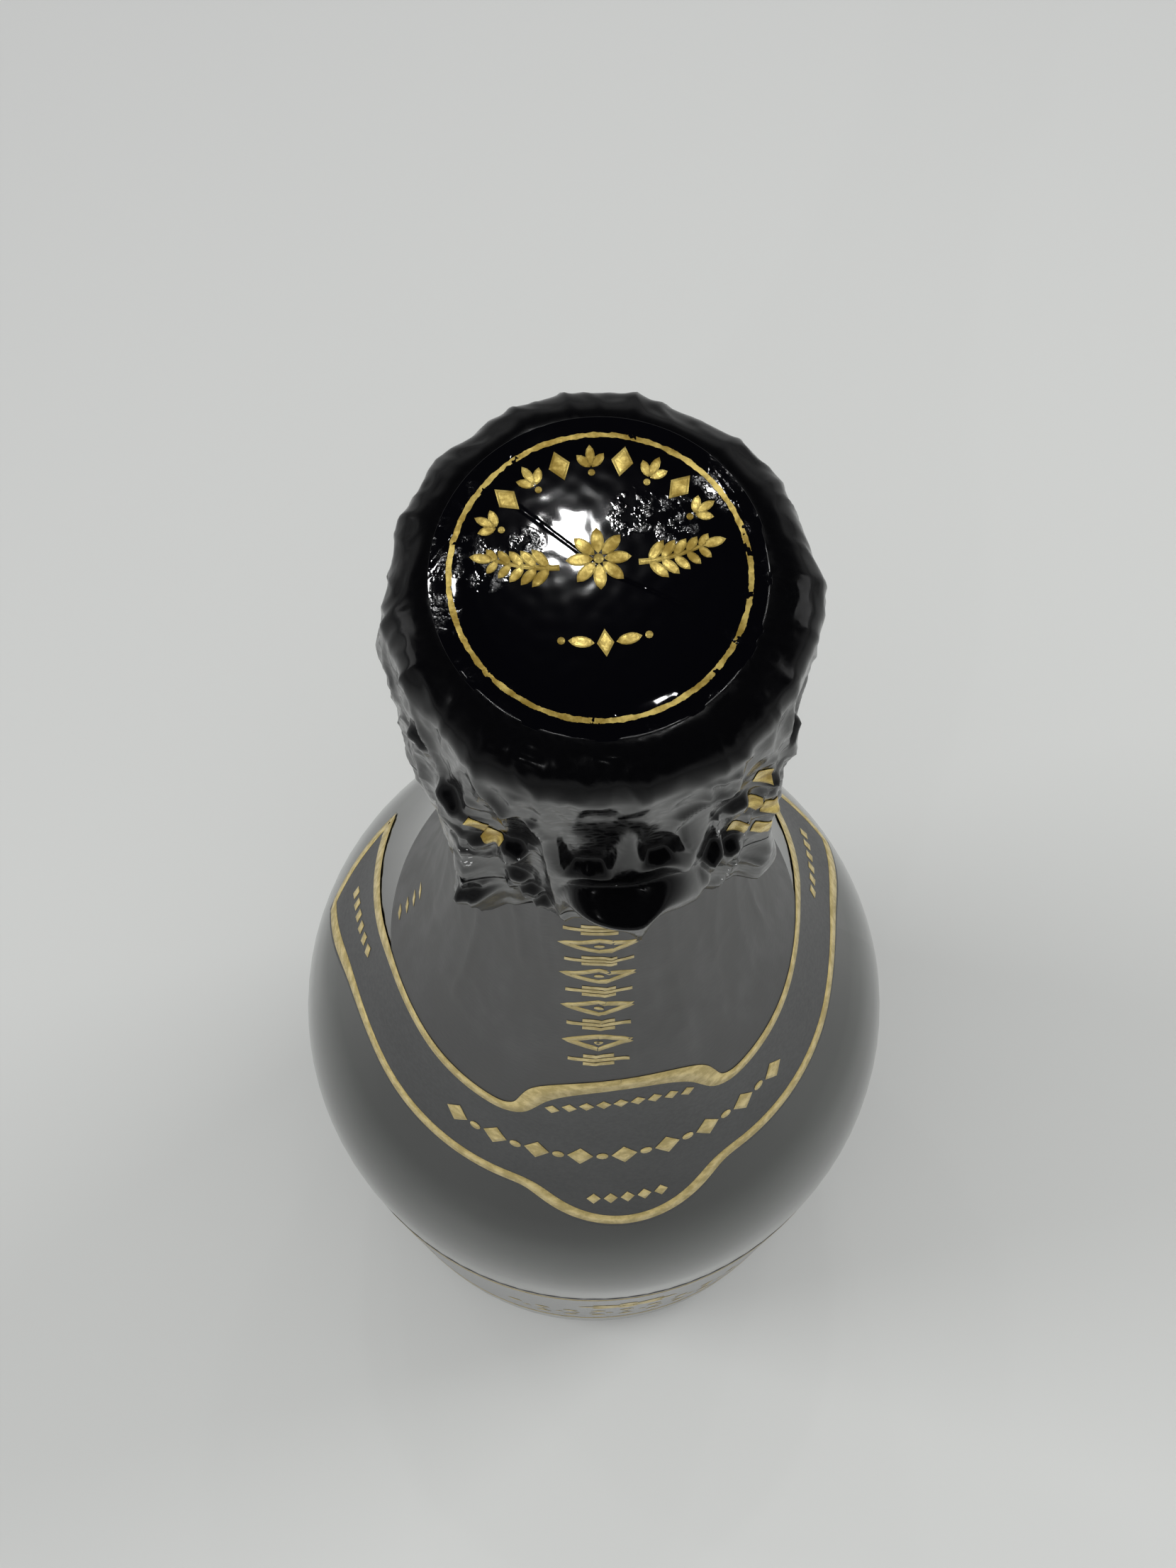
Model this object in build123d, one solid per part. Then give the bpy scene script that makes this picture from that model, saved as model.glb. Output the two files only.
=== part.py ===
from build123d import *
import math
import os

# A sealed 75 cl sparkling-wine bottle. The axis is Z, the base stands on Z = 0, and the labels face -Y.

# Glass body
glass_height = 300.0
body_radius = 44.45
wall = 5.1
shoulder_drop = 158.75
shoulder_radius = 92.0
sweep_radius = 250.0
neck_top_radius = 13.45
neck_taper = 0.06
heel_radius = 10.0
foot_width = 5.0
punt_depth = 32.0
punt_nose_radius = 9.0
floor_thickness = 8.0
floor_corner_radius = 6.0
punt_thickness = 5.5

# Glass finish: the lip, the groove below it and the locking ring
lip_radius = 14.3
lip_height = 6.5
lip_round = 1.5
groove_radius = 13.2
groove_height = 3.0
groove_round = 0.5
ring_radius = 15.7
ring_height = 7.0
ring_round = 0.8
bore_radius = 8.8
bore_depth = 27.0
bore_flare_height = 9.0

# Wine
wine_drop = 75.0
wine_gap = 0.1

# Cork
cork_fit = 0.05
cork_depth = 24.0
cork_disc_height = 5.0
cork_chamfer = 0.8
cork_seat_gap = 0.3
cork_seat_radius = 11.0
cork_head_radius = 14.7
cork_head_height = 18.4
cork_widest_height = 6.5
cork_top_radius = 14.5
cork_top_round = 5.5

# Plaque: the pressed metal cap between cork and wire
plaque_gap = 0.2
plaque_thickness = 0.3
plaque_radius = 15.3
plaque_side_angle = 30.0

# Wire cage
running_gap = 0.3
wire_gap = 0.15
cage_wire_radius = 0.45
belt_wire_radius = 0.5
strand_gap = 0.02
leg_count = 4
leg_turns = 6
leg_top_drop = 5.1
leg_bottom_rise = 2.0
knuckle_margin = 0.04
link_radius = 0.6

# Key of the belt wire, folded up against the front
key_turns = 1.5
key_shaft_length = 5.3
key_foot_drop = 0.5
key_foot_radius = 0.7
key_eye_radius = 3.9

# Foil over the cork and cage
foil_thickness = 0.25
disc_thickness = 0.25
disc_radius = 13.0
hood_corner_radius = 4.0
hood_rim_drop = 29.0
hood_rim_flare = 1.5
hood_rim_straight = 6.0
hood_waist_drop = 3.0
hood_waist_inset = 0.6
ridge_foot_radius = 2.5
pocket_axis_inset = 7.2
tear_strip_height = 12.0
tear_gap = 0.15

# Foil down the neck
skirt_gap = 0.2
skirt_thickness = 0.15
skirt_lift = 0.05
skirt_flare_drop = 8.5
skirt_drop = 88.0

# Collar label on the shoulder
collar_lift = 0.3
collar_thickness = 0.15
collar_drop = 113.5
collar_height = 21.0
collar_arch_rise = 13.0
collar_arch_step_rise = 6.0
collar_arch_half_width = 11.5
collar_cusp_half_width = 14.0
collar_bulge_fall = 8.3
collar_bulge_step_fall = 3.5
collar_bulge_half_width = 11.0
collar_front_depth = 2.0
collar_end_depth = 26.0
collar_bend_radius = 20.0

# Body labels
label_lift = 0.05
label_thickness = 0.15
label_corner = 3.0
front_label_width = 76.0
front_label_drop = 11.0
front_label_bottom = 27.0
back_label_width = 58.0
back_label_drop = 23.0
back_label_bottom = 35.0

# One overrun for every cut, and the placing of rods on their lower end
overrun = 5.0
from_base = (Align.CENTER, Align.CENTER, Align.MIN)

# Heights and radii that follow from the sizes above
wine_level = glass_height - wine_drop
groove_bottom = glass_height - lip_height - groove_height
ring_top = groove_bottom - (ring_radius - groove_radius)
ring_bottom = ring_top - ring_height
neck_top = ring_bottom - (ring_radius - neck_top_radius)
shoulder_height = neck_top - shoulder_drop
bore_end = glass_height - bore_depth
cork_radius = bore_radius - cork_fit
cork_bottom = glass_height - cork_depth
cork_seat = glass_height + cork_seat_gap
cork_top = cork_seat + cork_head_height
dome_centre_radius = cork_top_radius - cork_top_round
dome_centre_height = cork_top - cork_top_round
plaque_inner_round = cork_top_round + plaque_gap
plaque_outer_round = plaque_inner_round + plaque_thickness
plaque_top = cork_top + plaque_gap + plaque_thickness
flange_bottom = dome_centre_height + plaque_inner_round * math.sin(math.radians(plaque_side_angle))
flange_top = flange_bottom + plaque_thickness
hood_top = plaque_top + running_gap + foil_thickness
hood_waist_height = glass_height - hood_waist_drop
hood_rim_height = glass_height - hood_rim_drop
hood_flare_height = hood_rim_height + hood_rim_straight
tear_height = hood_rim_height + tear_strip_height
skirt_flare_height = hood_rim_height - skirt_flare_drop
skirt_bottom = hood_rim_height - skirt_drop
collar_top = glass_height - collar_drop
collar_bottom = collar_top - collar_height
collar_arch_top = collar_top + collar_arch_rise
collar_arch_step = collar_top + collar_arch_step_rise
collar_bulge_bottom = collar_bottom - collar_bulge_fall
collar_bulge_step = collar_bottom - collar_bulge_step_fall
front_label_top = shoulder_height - front_label_drop
back_label_top = shoulder_height - back_label_drop


def neck_radius(height):
    """Outside radius of the glass neck at a height between the shoulder and the locking ring."""
    return neck_top_radius + neck_taper * (neck_top - height)


# Wire cage: each leg is a straight twisted pair that clears the cork head and the locking ring
strand_radius = cage_wire_radius + strand_gap / 2
leg_envelope = strand_radius + cage_wire_radius + knuckle_margin
top_wire_radius = plaque_radius - cage_wire_radius
top_wire_height = flange_top + wire_gap + cage_wire_radius
leg_top_height = cork_top - leg_top_drop
leg_top_radius = cork_head_radius + running_gap + leg_envelope
leg_slope = (ring_radius + running_gap + leg_envelope - leg_top_radius) / (leg_top_height - ring_top)
leg_bottom_height = ring_bottom + leg_bottom_rise
leg_bottom_radius = leg_top_radius + leg_slope * (leg_top_height - leg_bottom_height)
leg_length = math.hypot(leg_top_height - leg_bottom_height, leg_bottom_radius - leg_top_radius)
leg_tilt = math.degrees(math.atan(leg_slope))
leg_angles = [(i + 0.5) * 360 / leg_count for i in range(leg_count)]

# The belt wire runs through the eyelets, which stand off the neck just under the locking ring
eyelet_radius = belt_wire_radius + wire_gap + cage_wire_radius
eyelet_reach = eyelet_radius + cage_wire_radius + running_gap
belt_radius = neck_top_radius + eyelet_reach
belt_height = neck_top + (belt_radius - neck_top_radius) - math.sqrt(2) * eyelet_reach

# Key
key_strand_radius = belt_wire_radius + strand_gap / 2
key_envelope = key_strand_radius + belt_wire_radius + knuckle_margin
key_radius = ring_radius + running_gap + key_envelope
key_foot_height = ring_bottom - key_foot_drop
key_knuckle_height = key_foot_height + key_shaft_length
key_eye_height = key_knuckle_height + belt_wire_radius + wire_gap + key_eye_radius
key_eye_top = key_eye_height + key_eye_radius

# Hood
hood_head_radius = leg_top_radius + leg_envelope + foil_thickness
hood_waist_radius = hood_head_radius - hood_waist_inset
hood_rim_radius = hood_head_radius + hood_rim_flare
ridge_top_radius = leg_envelope + running_gap + foil_thickness
pocket_axis = key_radius - pocket_axis_inset
key_eye_reach = math.hypot(key_eye_radius, pocket_axis_inset) + belt_wire_radius
pocket_radius = key_eye_reach + running_gap + foil_thickness


def polar(centre, radius, angle):
    """Point at an angle in degrees on a circle in the radius-height plane."""
    turn = math.radians(angle)
    return (centre[0] + radius * math.cos(turn), centre[1] + radius * math.sin(turn))


def arc(centre, radius, start, end):
    """Arc between two angles in degrees in the radius-height plane."""
    return ThreePointArc(*[polar(centre, radius, angle) for angle in (start, (start + end) / 2, end)])


def spin(*edges):
    """Solid of revolution about the axis, from a closed outline in the radius-height plane."""
    return revolve(Plane.XZ * make_face(Curve() + list(edges)), Axis.Z)


def upright(radius, bottom, top):
    """Plain cylinder about the axis between two heights."""
    return spin(Polyline((0, bottom), (radius, bottom), (radius, top), (0, top), close=True))


def below(height):
    """Everything under a height, as wide as the object."""
    return upright(body_radius + overrun, -overrun, height)


def capsule(start, end, radius):
    """Round-ended rod between two points."""
    path = Vector(*end) - Vector(*start)
    rod = Plane(origin=start, z_dir=path) * Cylinder(radius, path.length, align=from_base)
    return rod + Pos(*start) * Sphere(radius) + Pos(*end) * Sphere(radius)


def side_curve():
    """Centres of the arcs that join the straight wall to the tapered neck, and the angle where they meet."""
    along = Vector(neck_taper, -1).normalized()
    outward = Vector(1, neck_taper).normalized()
    low_centre = Vector(body_radius - shoulder_radius, shoulder_height)
    start = Vector(neck_top_radius, neck_top) + outward * sweep_radius
    offset = start - low_centre
    half = offset.dot(along)
    slide = -half - math.sqrt(half**2 - offset.dot(offset) + (shoulder_radius + sweep_radius) ** 2)
    high_centre = start + along * slide
    reach = high_centre - low_centre
    meeting = math.degrees(math.atan2(reach.Y, reach.X))
    return (low_centre.X, low_centre.Y), (high_centre.X, high_centre.Y), meeting


def side(lift, bottom, top):
    """Edges of the bottle's side between two heights on wall and neck, moved outward by a lift."""
    low_centre, high_centre, meeting = side_curve()
    lean = math.degrees(math.atan(neck_taper))
    shoulder = arc(low_centre, shoulder_radius + lift, 0, meeting)
    sweep = arc(high_centre, sweep_radius - lift, 180 + meeting, 180 + lean)
    neck_end = (neck_radius(top) + lift * math.hypot(1, neck_taper), top)
    return [Line((body_radius + lift, bottom), shoulder @ 0), shoulder, sweep, Line(sweep @ 1, neck_end)]


def envelope(lift):
    """Solid bottle shape from the foot to the locking ring, moved outward by a lift."""
    edges = side(lift, 0, neck_top)
    return spin(*edges, Polyline(edges[-1] @ 1, (0, neck_top), (0, 0), edges[0] @ 0))


def skin(lift, thickness):
    """Thin layer that follows the outside of the bottle."""
    return envelope(lift + thickness) - envelope(lift)


def punt(gap, bottom):
    """Edges of the domed cone in the base from a height up to the axis, moved into the bottle by a gap."""
    centre = (0, punt_depth - punt_nose_radius)
    foot_radius = body_radius - heel_radius - foot_width
    reach = math.hypot(foot_radius, centre[1])
    rise = math.atan2(centre[1], foot_radius) + math.asin(punt_nose_radius / reach)
    start = (foot_radius + gap / math.sin(rise) - bottom / math.tan(rise), bottom)
    touch = 90 - math.degrees(rise)
    nose = arc(centre, punt_nose_radius + gap, touch, 90)
    return [Line(start, nose @ 0), nose]


def cavity(gap):
    """Inside of the bottle up to above its mouth, shrunk by a gap."""
    corner_centre = (body_radius - wall - floor_corner_radius, floor_thickness + floor_corner_radius)
    cone = punt(punt_thickness + gap, floor_thickness + gap)
    corner = arc(corner_centre, floor_corner_radius - gap, -90, 0)
    wall_edges = side(-wall - gap, corner_centre[1], bore_end - bore_flare_height)
    bore = bore_radius - gap
    open_top = glass_height + overrun
    mouth = Polyline(wall_edges[-1] @ 1, (bore, bore_end), (bore, open_top), (0, open_top), cone[1] @ 1)
    return spin(*cone, Line(cone[0] @ 0, corner @ 0), corner, *wall_edges, mouth)


def glass_bottle():
    """Glass with its punt, heel, shoulder, neck, locking ring, groove and lip."""
    cone = punt(0, 0)
    heel = arc((body_radius - heel_radius, heel_radius), heel_radius, -90, 0)
    wall_edges = side(0, heel_radius, neck_top)
    lip_bottom = groove_bottom + groove_height
    finish = FilletPolyline(
        wall_edges[-1] @ 1,
        (ring_radius, ring_bottom),
        (ring_radius, ring_top),
        (groove_radius, groove_bottom),
        (groove_radius, lip_bottom),
        (lip_radius, lip_bottom + lip_radius - groove_radius),
        (lip_radius, glass_height),
        (0, glass_height),
        radius=[ring_round, ring_round, groove_round, groove_round, groove_round, lip_round],
    )
    foot = Line(cone[0] @ 0, heel @ 0)
    axis = Line(finish @ 1, cone[1] @ 1)
    return spin(*cone, foot, heel, *wall_edges, finish, axis) - cavity(0)


def wine_fill():
    """Wine up to its level in the neck."""
    return cavity(wine_gap) & below(wine_level)


def cork_disc_upper():
    """Disc of natural cork glued under the shank."""
    return upright(cork_radius, cork_bottom + cork_disc_height, cork_bottom + 2 * cork_disc_height)


def cork_disc_lower():
    """Disc of natural cork that meets the wine side, chamfered below."""
    disc = upright(cork_radius, cork_bottom, cork_bottom + cork_disc_height)
    return chamfer(disc.edges().group_by(Axis.Z)[0], cork_chamfer)


def cork_body():
    """Agglomerated cork: the shank in the neck and the mushroom head above the lip."""
    shank_bottom = cork_bottom + 2 * cork_disc_height
    widest = cork_seat + cork_widest_height
    spread = cork_head_radius - cork_seat_radius
    bulge_radius = (spread**2 + cork_widest_height**2) / (2 * spread)
    bulge_start = -math.degrees(math.asin(cork_widest_height / bulge_radius))
    bulge = arc((cork_head_radius - bulge_radius, widest), bulge_radius, bulge_start, 0)
    dome = arc((dome_centre_radius, dome_centre_height), cork_top_round, 0, 90)
    stem = Polyline((0, shank_bottom), (cork_radius, shank_bottom), (cork_radius, cork_seat), bulge @ 0)
    axis = Polyline(dome @ 1, (0, cork_top), (0, shank_bottom))
    return spin(stem, bulge, Line(bulge @ 1, dome @ 0), dome, axis)


def link_place(height):
    """Radius of the link between top wire and leg at a height."""
    share = (top_wire_height - height) / (top_wire_height - leg_top_height)
    return top_wire_radius + share * (leg_top_radius - top_wire_radius)


def muselet_plaque():
    """Pressed metal cap over the cork, with a flange notched for the legs."""
    centre = (dome_centre_radius, dome_centre_height)
    outer_angle = math.degrees(math.asin((flange_top - dome_centre_height) / plaque_outer_round))
    inner = arc(centre, plaque_inner_round, 90, plaque_side_angle)
    outer = arc(centre, plaque_outer_round, outer_angle, 90)
    lid = spin(
        Line((0, plaque_top - plaque_thickness), inner @ 0),
        inner,
        Polyline(inner @ 1, (plaque_radius, flange_bottom), (plaque_radius, flange_top), outer @ 0),
        outer,
        Polyline(outer @ 1, (0, plaque_top), (0, plaque_top - plaque_thickness)),
    )
    notch = Cylinder(cage_wire_radius + running_gap, 2 * overrun)
    for angle in leg_angles:
        lid -= Rot(0, 0, angle) * Pos(0, -link_place(flange_bottom), flange_top) * notch
    return lid


def twisted_pair(length, turns, twist_radius, wire_radius):
    """Two wires twisted about each other, from the origin up the Z axis."""
    path = Helix(pitch=length / turns, height=length, radius=twist_radius)
    wire = sweep(Plane(origin=path @ 0, z_dir=path % 0) * Circle(wire_radius), path=path)
    return [wire, Rot(0, 0, 180) * wire]


def muselet_cage():
    """One wire: the ring on the plaque, four twisted legs and the eyelets at their ends."""
    front_top = (0, -leg_top_radius, leg_top_height)
    front_bottom = (0, -leg_bottom_radius, leg_bottom_height)
    eyelet_foot = (0, -belt_radius - eyelet_radius, belt_height)
    knuckle = Sphere(leg_envelope)
    leg = Pos(*front_top) * knuckle + Pos(*front_bottom) * knuckle
    for strand in twisted_pair(leg_length, leg_turns, strand_radius, cage_wire_radius):
        leg += Pos(*front_bottom) * Rot(-leg_tilt, 0, 0) * strand
    leg += capsule((0, -top_wire_radius, top_wire_height), front_top, cage_wire_radius)
    leg += capsule(front_bottom, eyelet_foot, link_radius)
    leg += Pos(0, -belt_radius, belt_height) * Rot(0, 90, 0) * Torus(eyelet_radius, cage_wire_radius)
    cage = Pos(0, 0, top_wire_height) * Torus(top_wire_radius, cage_wire_radius)
    for angle in leg_angles:
        cage += Rot(0, 0, angle) * leg
    return cage


def muselet_belt():
    """Belt wire under the locking ring, with its twisted key folded up against the front."""
    foot = (0, -key_radius, key_foot_height)
    eye = Pos(0, -key_radius, key_eye_height) * Rot(90, 0, 0) * Torus(key_eye_radius, belt_wire_radius)
    strands = twisted_pair(key_shaft_length, key_turns, key_strand_radius, belt_wire_radius)
    knuckle = Sphere(key_envelope)
    pieces = [Pos(*foot) * strand for strand in strands]
    pieces += [Pos(*foot) * knuckle, Pos(0, -key_radius, key_knuckle_height) * knuckle, eye]
    pieces.append(capsule((0, -belt_radius, belt_height), foot, key_foot_radius))
    return Pos(0, 0, belt_height) * Torus(belt_radius, belt_wire_radius) + pieces


def ridge(inset):
    """Rounded cone that follows the front leg from the rim to its top, for the foil over it."""
    foot_height = hood_rim_height - overrun
    spread = leg_slope * (leg_top_height - foot_height)
    length = math.hypot(leg_top_height - foot_height, spread)
    cone = Cone(ridge_foot_radius - inset, ridge_top_radius - inset, length, align=from_base)
    cone = Pos(0, -leg_top_radius - spread, foot_height) * Rot(-leg_tilt, 0, 0) * cone
    return cone + Pos(0, -leg_top_radius, leg_top_height) * Sphere(ridge_top_radius - inset)


def pocket(inset):
    """Upright round-topped column over the key, for the foil over it."""
    foot_height = hood_rim_height - overrun
    radius = pocket_radius - inset
    height = key_eye_top - foot_height
    column = Pos(0, -pocket_axis, foot_height) * Cylinder(radius, height, align=from_base)
    return column + Pos(0, -pocket_axis, key_eye_top) * Sphere(radius)


def hood_form(inset):
    """Solid under the foil's outside, shrunk by an inset."""
    corner_centre = (hood_head_radius - hood_corner_radius, hood_top - hood_corner_radius)
    corner = arc(corner_centre, hood_corner_radius - inset, 90, 0)
    side_edge = Spline(
        corner @ 1,
        (hood_waist_radius - inset, hood_waist_height),
        (hood_rim_radius - inset, hood_flare_height),
        tangents=((0, -1), (0, -1)),
    )
    foot = hood_rim_height - overrun
    rim_radius = hood_rim_radius - inset
    rim = Polyline(side_edge @ 1, (rim_radius, foot), (0, foot), (0, hood_top - inset), corner @ 0)
    ridges = [Rot(0, 0, angle) * ridge(inset) for angle in leg_angles]
    return spin(corner, side_edge, rim) + ridges + pocket(inset)


def hood_shell():
    """Foil over the cork and cage, from its top to its rim."""
    return hood_form(0) - hood_form(foil_thickness) - below(hood_rim_height)


def foil_disc():
    """Printed disc bonded to the top of the foil."""
    return upright(disc_radius, hood_top, hood_top + disc_thickness)


def foil_neck_skirt():
    """Foil down the neck, from the rim of the hood to beneath the collar label."""
    top = hood_rim_height - skirt_gap

    def layer(lift, inset):
        flare_start = neck_radius(skirt_flare_height) + lift
        flare_end = hood_rim_radius - inset
        flare = [(0, skirt_flare_height), (flare_start, skirt_flare_height), (flare_end, top), (0, top)]
        return envelope(lift) + spin(Polyline(*flare, close=True))

    sleeve = layer(skirt_lift + skirt_thickness, 0) - layer(skirt_lift, foil_thickness)
    return (sleeve & below(top)) - below(skirt_bottom)


def collar_band():
    """Collar label's outline from the side: level in front, falling toward the back to square ends."""
    front = -body_radius - overrun
    square = (collar_top - collar_bottom) / 2

    def edge(height, end):
        return [(front, height), (-collar_front_depth, height), (end, height - collar_front_depth - end)]

    top = FilletPolyline(*edge(collar_top, collar_end_depth), radius=collar_bend_radius)
    bottom = FilletPolyline(*edge(collar_bottom, collar_end_depth - square), radius=collar_bend_radius)
    outline = Curve() + [top, bottom, Line(top @ 0, bottom @ 0), Line(top @ 1, bottom @ 1)]
    return extrude(Plane.YZ * make_face(outline), amount=body_radius + overrun, both=True)


def collar_shield():
    """Collar label's outline face on: an arch above and a bulge below."""
    cusp = collar_cusp_half_width
    arch_left, arch_right = [(sign * collar_arch_half_width, collar_arch_step) for sign in (-1, 1)]
    bulge_left, bulge_right = [(sign * collar_bulge_half_width, collar_bulge_step) for sign in (-1, 1)]
    outline = Curve() + [
        ThreePointArc(arch_left, (0, collar_arch_top), arch_right),
        Polyline(arch_right, (cusp, collar_top), (cusp, collar_bottom), bulge_right),
        ThreePointArc(bulge_right, (0, collar_bulge_bottom), bulge_left),
        Polyline(bulge_left, (-cusp, collar_bottom), (-cusp, collar_top), arch_left),
    ]
    return extrude(Plane.XZ * make_face(outline), amount=body_radius + overrun)


def collar_label():
    """Paper collar around the shoulder, open at the back."""
    return skin(collar_lift, collar_thickness) & (collar_band() + collar_shield())


def body_label(width, bottom, top):
    """Rounded paper label wrapped on the front of the straight wall."""
    outline = Pos(0, (bottom + top) / 2) * RectangleRounded(width, top - bottom, label_corner)
    return skin(label_lift, label_thickness) & extrude(Plane.XZ * outline, amount=body_radius + overrun)


hood = hood_shell()
parts = {
    "glass_bottle": glass_bottle(),
    "wine_fill": wine_fill(),
    "cork_body": cork_body(),
    "cork_disc_upper": cork_disc_upper(),
    "cork_disc_lower": cork_disc_lower(),
    "muselet_plaque": muselet_plaque(),
    "muselet_cage": muselet_cage(),
    "muselet_belt": muselet_belt(),
    "foil_disc": foil_disc(),
    "foil_hood": hood - below(tear_height),
    "foil_tear_strip": hood & below(tear_height - tear_gap),
    "foil_neck_skirt": foil_neck_skirt(),
    "collar_label": collar_label(),
    "front_label": body_label(front_label_width, front_label_bottom, front_label_top),
    "back_label": Rot(0, 0, 180) * body_label(back_label_width, back_label_bottom, back_label_top),
}

os.makedirs("parts", exist_ok=True)
for name, solid in parts.items():
    export_step(solid, f"parts/{name}.step")
    print(f"{name}: {len(solid.solids())} solid, {solid.volume / 1000:.2f} cm3")
print(f"inside to the brim: {(cavity(0) & below(glass_height)).volume / 1000:.0f} cm3")
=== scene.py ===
import math
import random

import bmesh
import bpy
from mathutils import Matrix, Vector, noise


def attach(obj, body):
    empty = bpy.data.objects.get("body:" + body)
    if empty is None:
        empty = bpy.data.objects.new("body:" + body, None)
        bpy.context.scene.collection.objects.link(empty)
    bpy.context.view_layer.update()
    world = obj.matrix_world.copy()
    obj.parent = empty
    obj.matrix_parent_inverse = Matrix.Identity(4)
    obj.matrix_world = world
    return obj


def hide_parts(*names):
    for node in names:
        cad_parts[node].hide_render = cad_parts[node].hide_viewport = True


# Sealed sparkling-wine bottle. Sizes are in millimetres, and the front (labels, wire key) faces -Y.
# phi is an angle in degrees round the axis from the front, positive toward +X.
print("Bottle: loading the frame")
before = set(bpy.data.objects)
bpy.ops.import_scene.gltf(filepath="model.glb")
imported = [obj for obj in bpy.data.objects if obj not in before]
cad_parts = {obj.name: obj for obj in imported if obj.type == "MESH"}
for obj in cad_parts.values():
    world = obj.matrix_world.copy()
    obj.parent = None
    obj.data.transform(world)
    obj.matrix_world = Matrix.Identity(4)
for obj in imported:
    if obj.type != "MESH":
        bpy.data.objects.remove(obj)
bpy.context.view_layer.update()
mm = 0.001
upward = Vector((0, 0, 1))

cameraView = {"lens": 53.7, "place": (-8.96, -59.54, 485.9), "tilt": 14.82, "turn": -7.7}


def addObject(name, data):
    made = bpy.data.objects.new(name, data)
    bpy.context.scene.collection.objects.link(made)
    return made


def makeCamera(view):
    lens = bpy.data.cameras.new("photoCamera")
    lens.lens = view["lens"]
    lens.sensor_width = 36
    lens.clip_start = 0.01
    camera = addObject("photoCamera", lens)
    camera.location = Vector(view["place"]) * mm
    camera.rotation_euler = (math.radians(view["tilt"]), 0, math.radians(view["turn"]))
    bpy.context.scene.camera = camera


makeCamera(cameraView)


# Node helpers: a plain value is set on its socket, and a socket is linked to it

toEdge = {"feature": "DISTANCE_TO_EDGE"}


def feed(tree, socket, value):
    if isinstance(value, bpy.types.NodeSocket):
        tree.links.new(value, socket)
    else:
        socket.default_value = value


def feedRow(tree, sockets, values):
    for socket, value in zip(sockets, values):
        feed(tree, socket, value)


def feedNamed(tree, node, **inputs):
    for key, value in inputs.items():
        feed(tree, node.inputs[key.replace("_", " ")], value)


def addNode(tree, kind, settings=None, **inputs):
    node = tree.nodes.new("ShaderNode" + kind)
    for key, value in (settings or {}).items():
        setattr(node, key, value)
    feedNamed(tree, node, **inputs)
    return node


def maths(tree, operation, *values):
    node = addNode(tree, "Math", {"operation": operation})
    feedRow(tree, node.inputs, values)
    return node.outputs[0]


def times(tree, first, second, extra=None):
    if extra is None:
        return maths(tree, "MULTIPLY", first, second)
    return maths(tree, "MULTIPLY_ADD", first, second, extra)


def vectorMaths(tree, operation, *values):
    node = addNode(tree, "VectorMath", {"operation": operation})
    feedRow(tree, node.inputs, values)
    return node.outputs


def fromAxis(tree, axes):
    return maths(tree, "SQRT", times(tree, axes["X"], axes["X"], times(tree, axes["Y"], axes["Y"])))


def mixColour(tree, factor, first, second):
    node = addNode(tree, "Mix", {"data_type": "RGBA"})
    feedRow(tree, [node.inputs[index] for index in (0, 6, 7)], (factor, first, second))
    return node.outputs[2]


def between(tree, value, low, high, outLow=0, outHigh=1):
    node = addNode(tree, "MapRange", {"interpolation_type": "SMOOTHSTEP"})
    feedRow(tree, node.inputs, (value, low, high, outLow, outHigh))
    return node.outputs[0]


def clouds(tree, place, scale, **more):
    return addNode(tree, "TexNoise", Vector=place, Scale=scale, **more).outputs["Fac"]


def newGroup(name, inputs, outputs):
    group = bpy.data.node_groups.new(name, "ShaderNodeTree")
    for label, kind, value in [("Vector", "Vector", None)] + inputs:
        socket = group.interface.new_socket(label, in_out="INPUT", socket_type="NodeSocket" + kind)
        if value is not None:
            socket.default_value = value
    for label, kind in outputs:
        group.interface.new_socket(label, in_out="OUTPUT", socket_type="NodeSocket" + kind)
    return group, group.nodes.new("NodeGroupInput").outputs, group.nodes.new("NodeGroupOutput").inputs


def inUnits(group, given, size):
    # the place on the surface, measured in one of the group's sizes
    scaled = addNode(group, "VectorMath", {"operation": "SCALE"}, Vector=given["Vector"])
    feed(group, scaled.inputs["Scale"], maths(group, "DIVIDE", 1, given[size]))
    return scaled.outputs[0]


def useGroup(tree, group, **inputs):
    return addNode(tree, "Group", {"node_tree": group}, **inputs).outputs


def newMaterial(name, **plain):
    material = bpy.data.materials.new(name)
    material.use_nodes = True
    tree = material.node_tree
    shader = tree.nodes["Principled BSDF"]
    feedNamed(tree, shader, **plain)
    return material, tree, shader, addNode(tree, "TexCoord").outputs["Object"]


def dress(tree, shader, colour, rough, height, strength, depth):
    bump = addNode(tree, "Bump", Strength=strength, Distance=depth * mm, Height=height)
    feedNamed(tree, shader, Base_Color=colour, Roughness=rough, Normal=bump.outputs[0])


# Shared effects. Sizes on these groups are in metres, as Object coordinates are.

def makeLeatherGrain():
    group, given, out = newGroup(
        "leatherGrain", [("Size", "Float", 0.0008)], [("Height", "Float"), ("Fleck", "Float")]
    )
    scaled = inUnits(group, given, "Size")
    soft = addNode(group, "TexNoise", Vector=scaled, Scale=0.8, Detail=3, Roughness=0.6).outputs
    bent = vectorMaths(group, "MULTIPLY_ADD", soft["Color"], (0.9, 0.9, 0.9), scaled)[0]
    cells = addNode(group, "TexVoronoi", toEdge, Vector=bent, Scale=1).outputs
    pillow = between(group, cells["Distance"], 0, 0.32)
    feed(group, out["Height"], times(group, pillow, 0.5, times(group, soft["Fac"], 0.6)))
    feed(group, out["Fleck"], between(group, clouds(group, scaled, 2.6, Detail=2), 0.58, 0.7))
    return group


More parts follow.
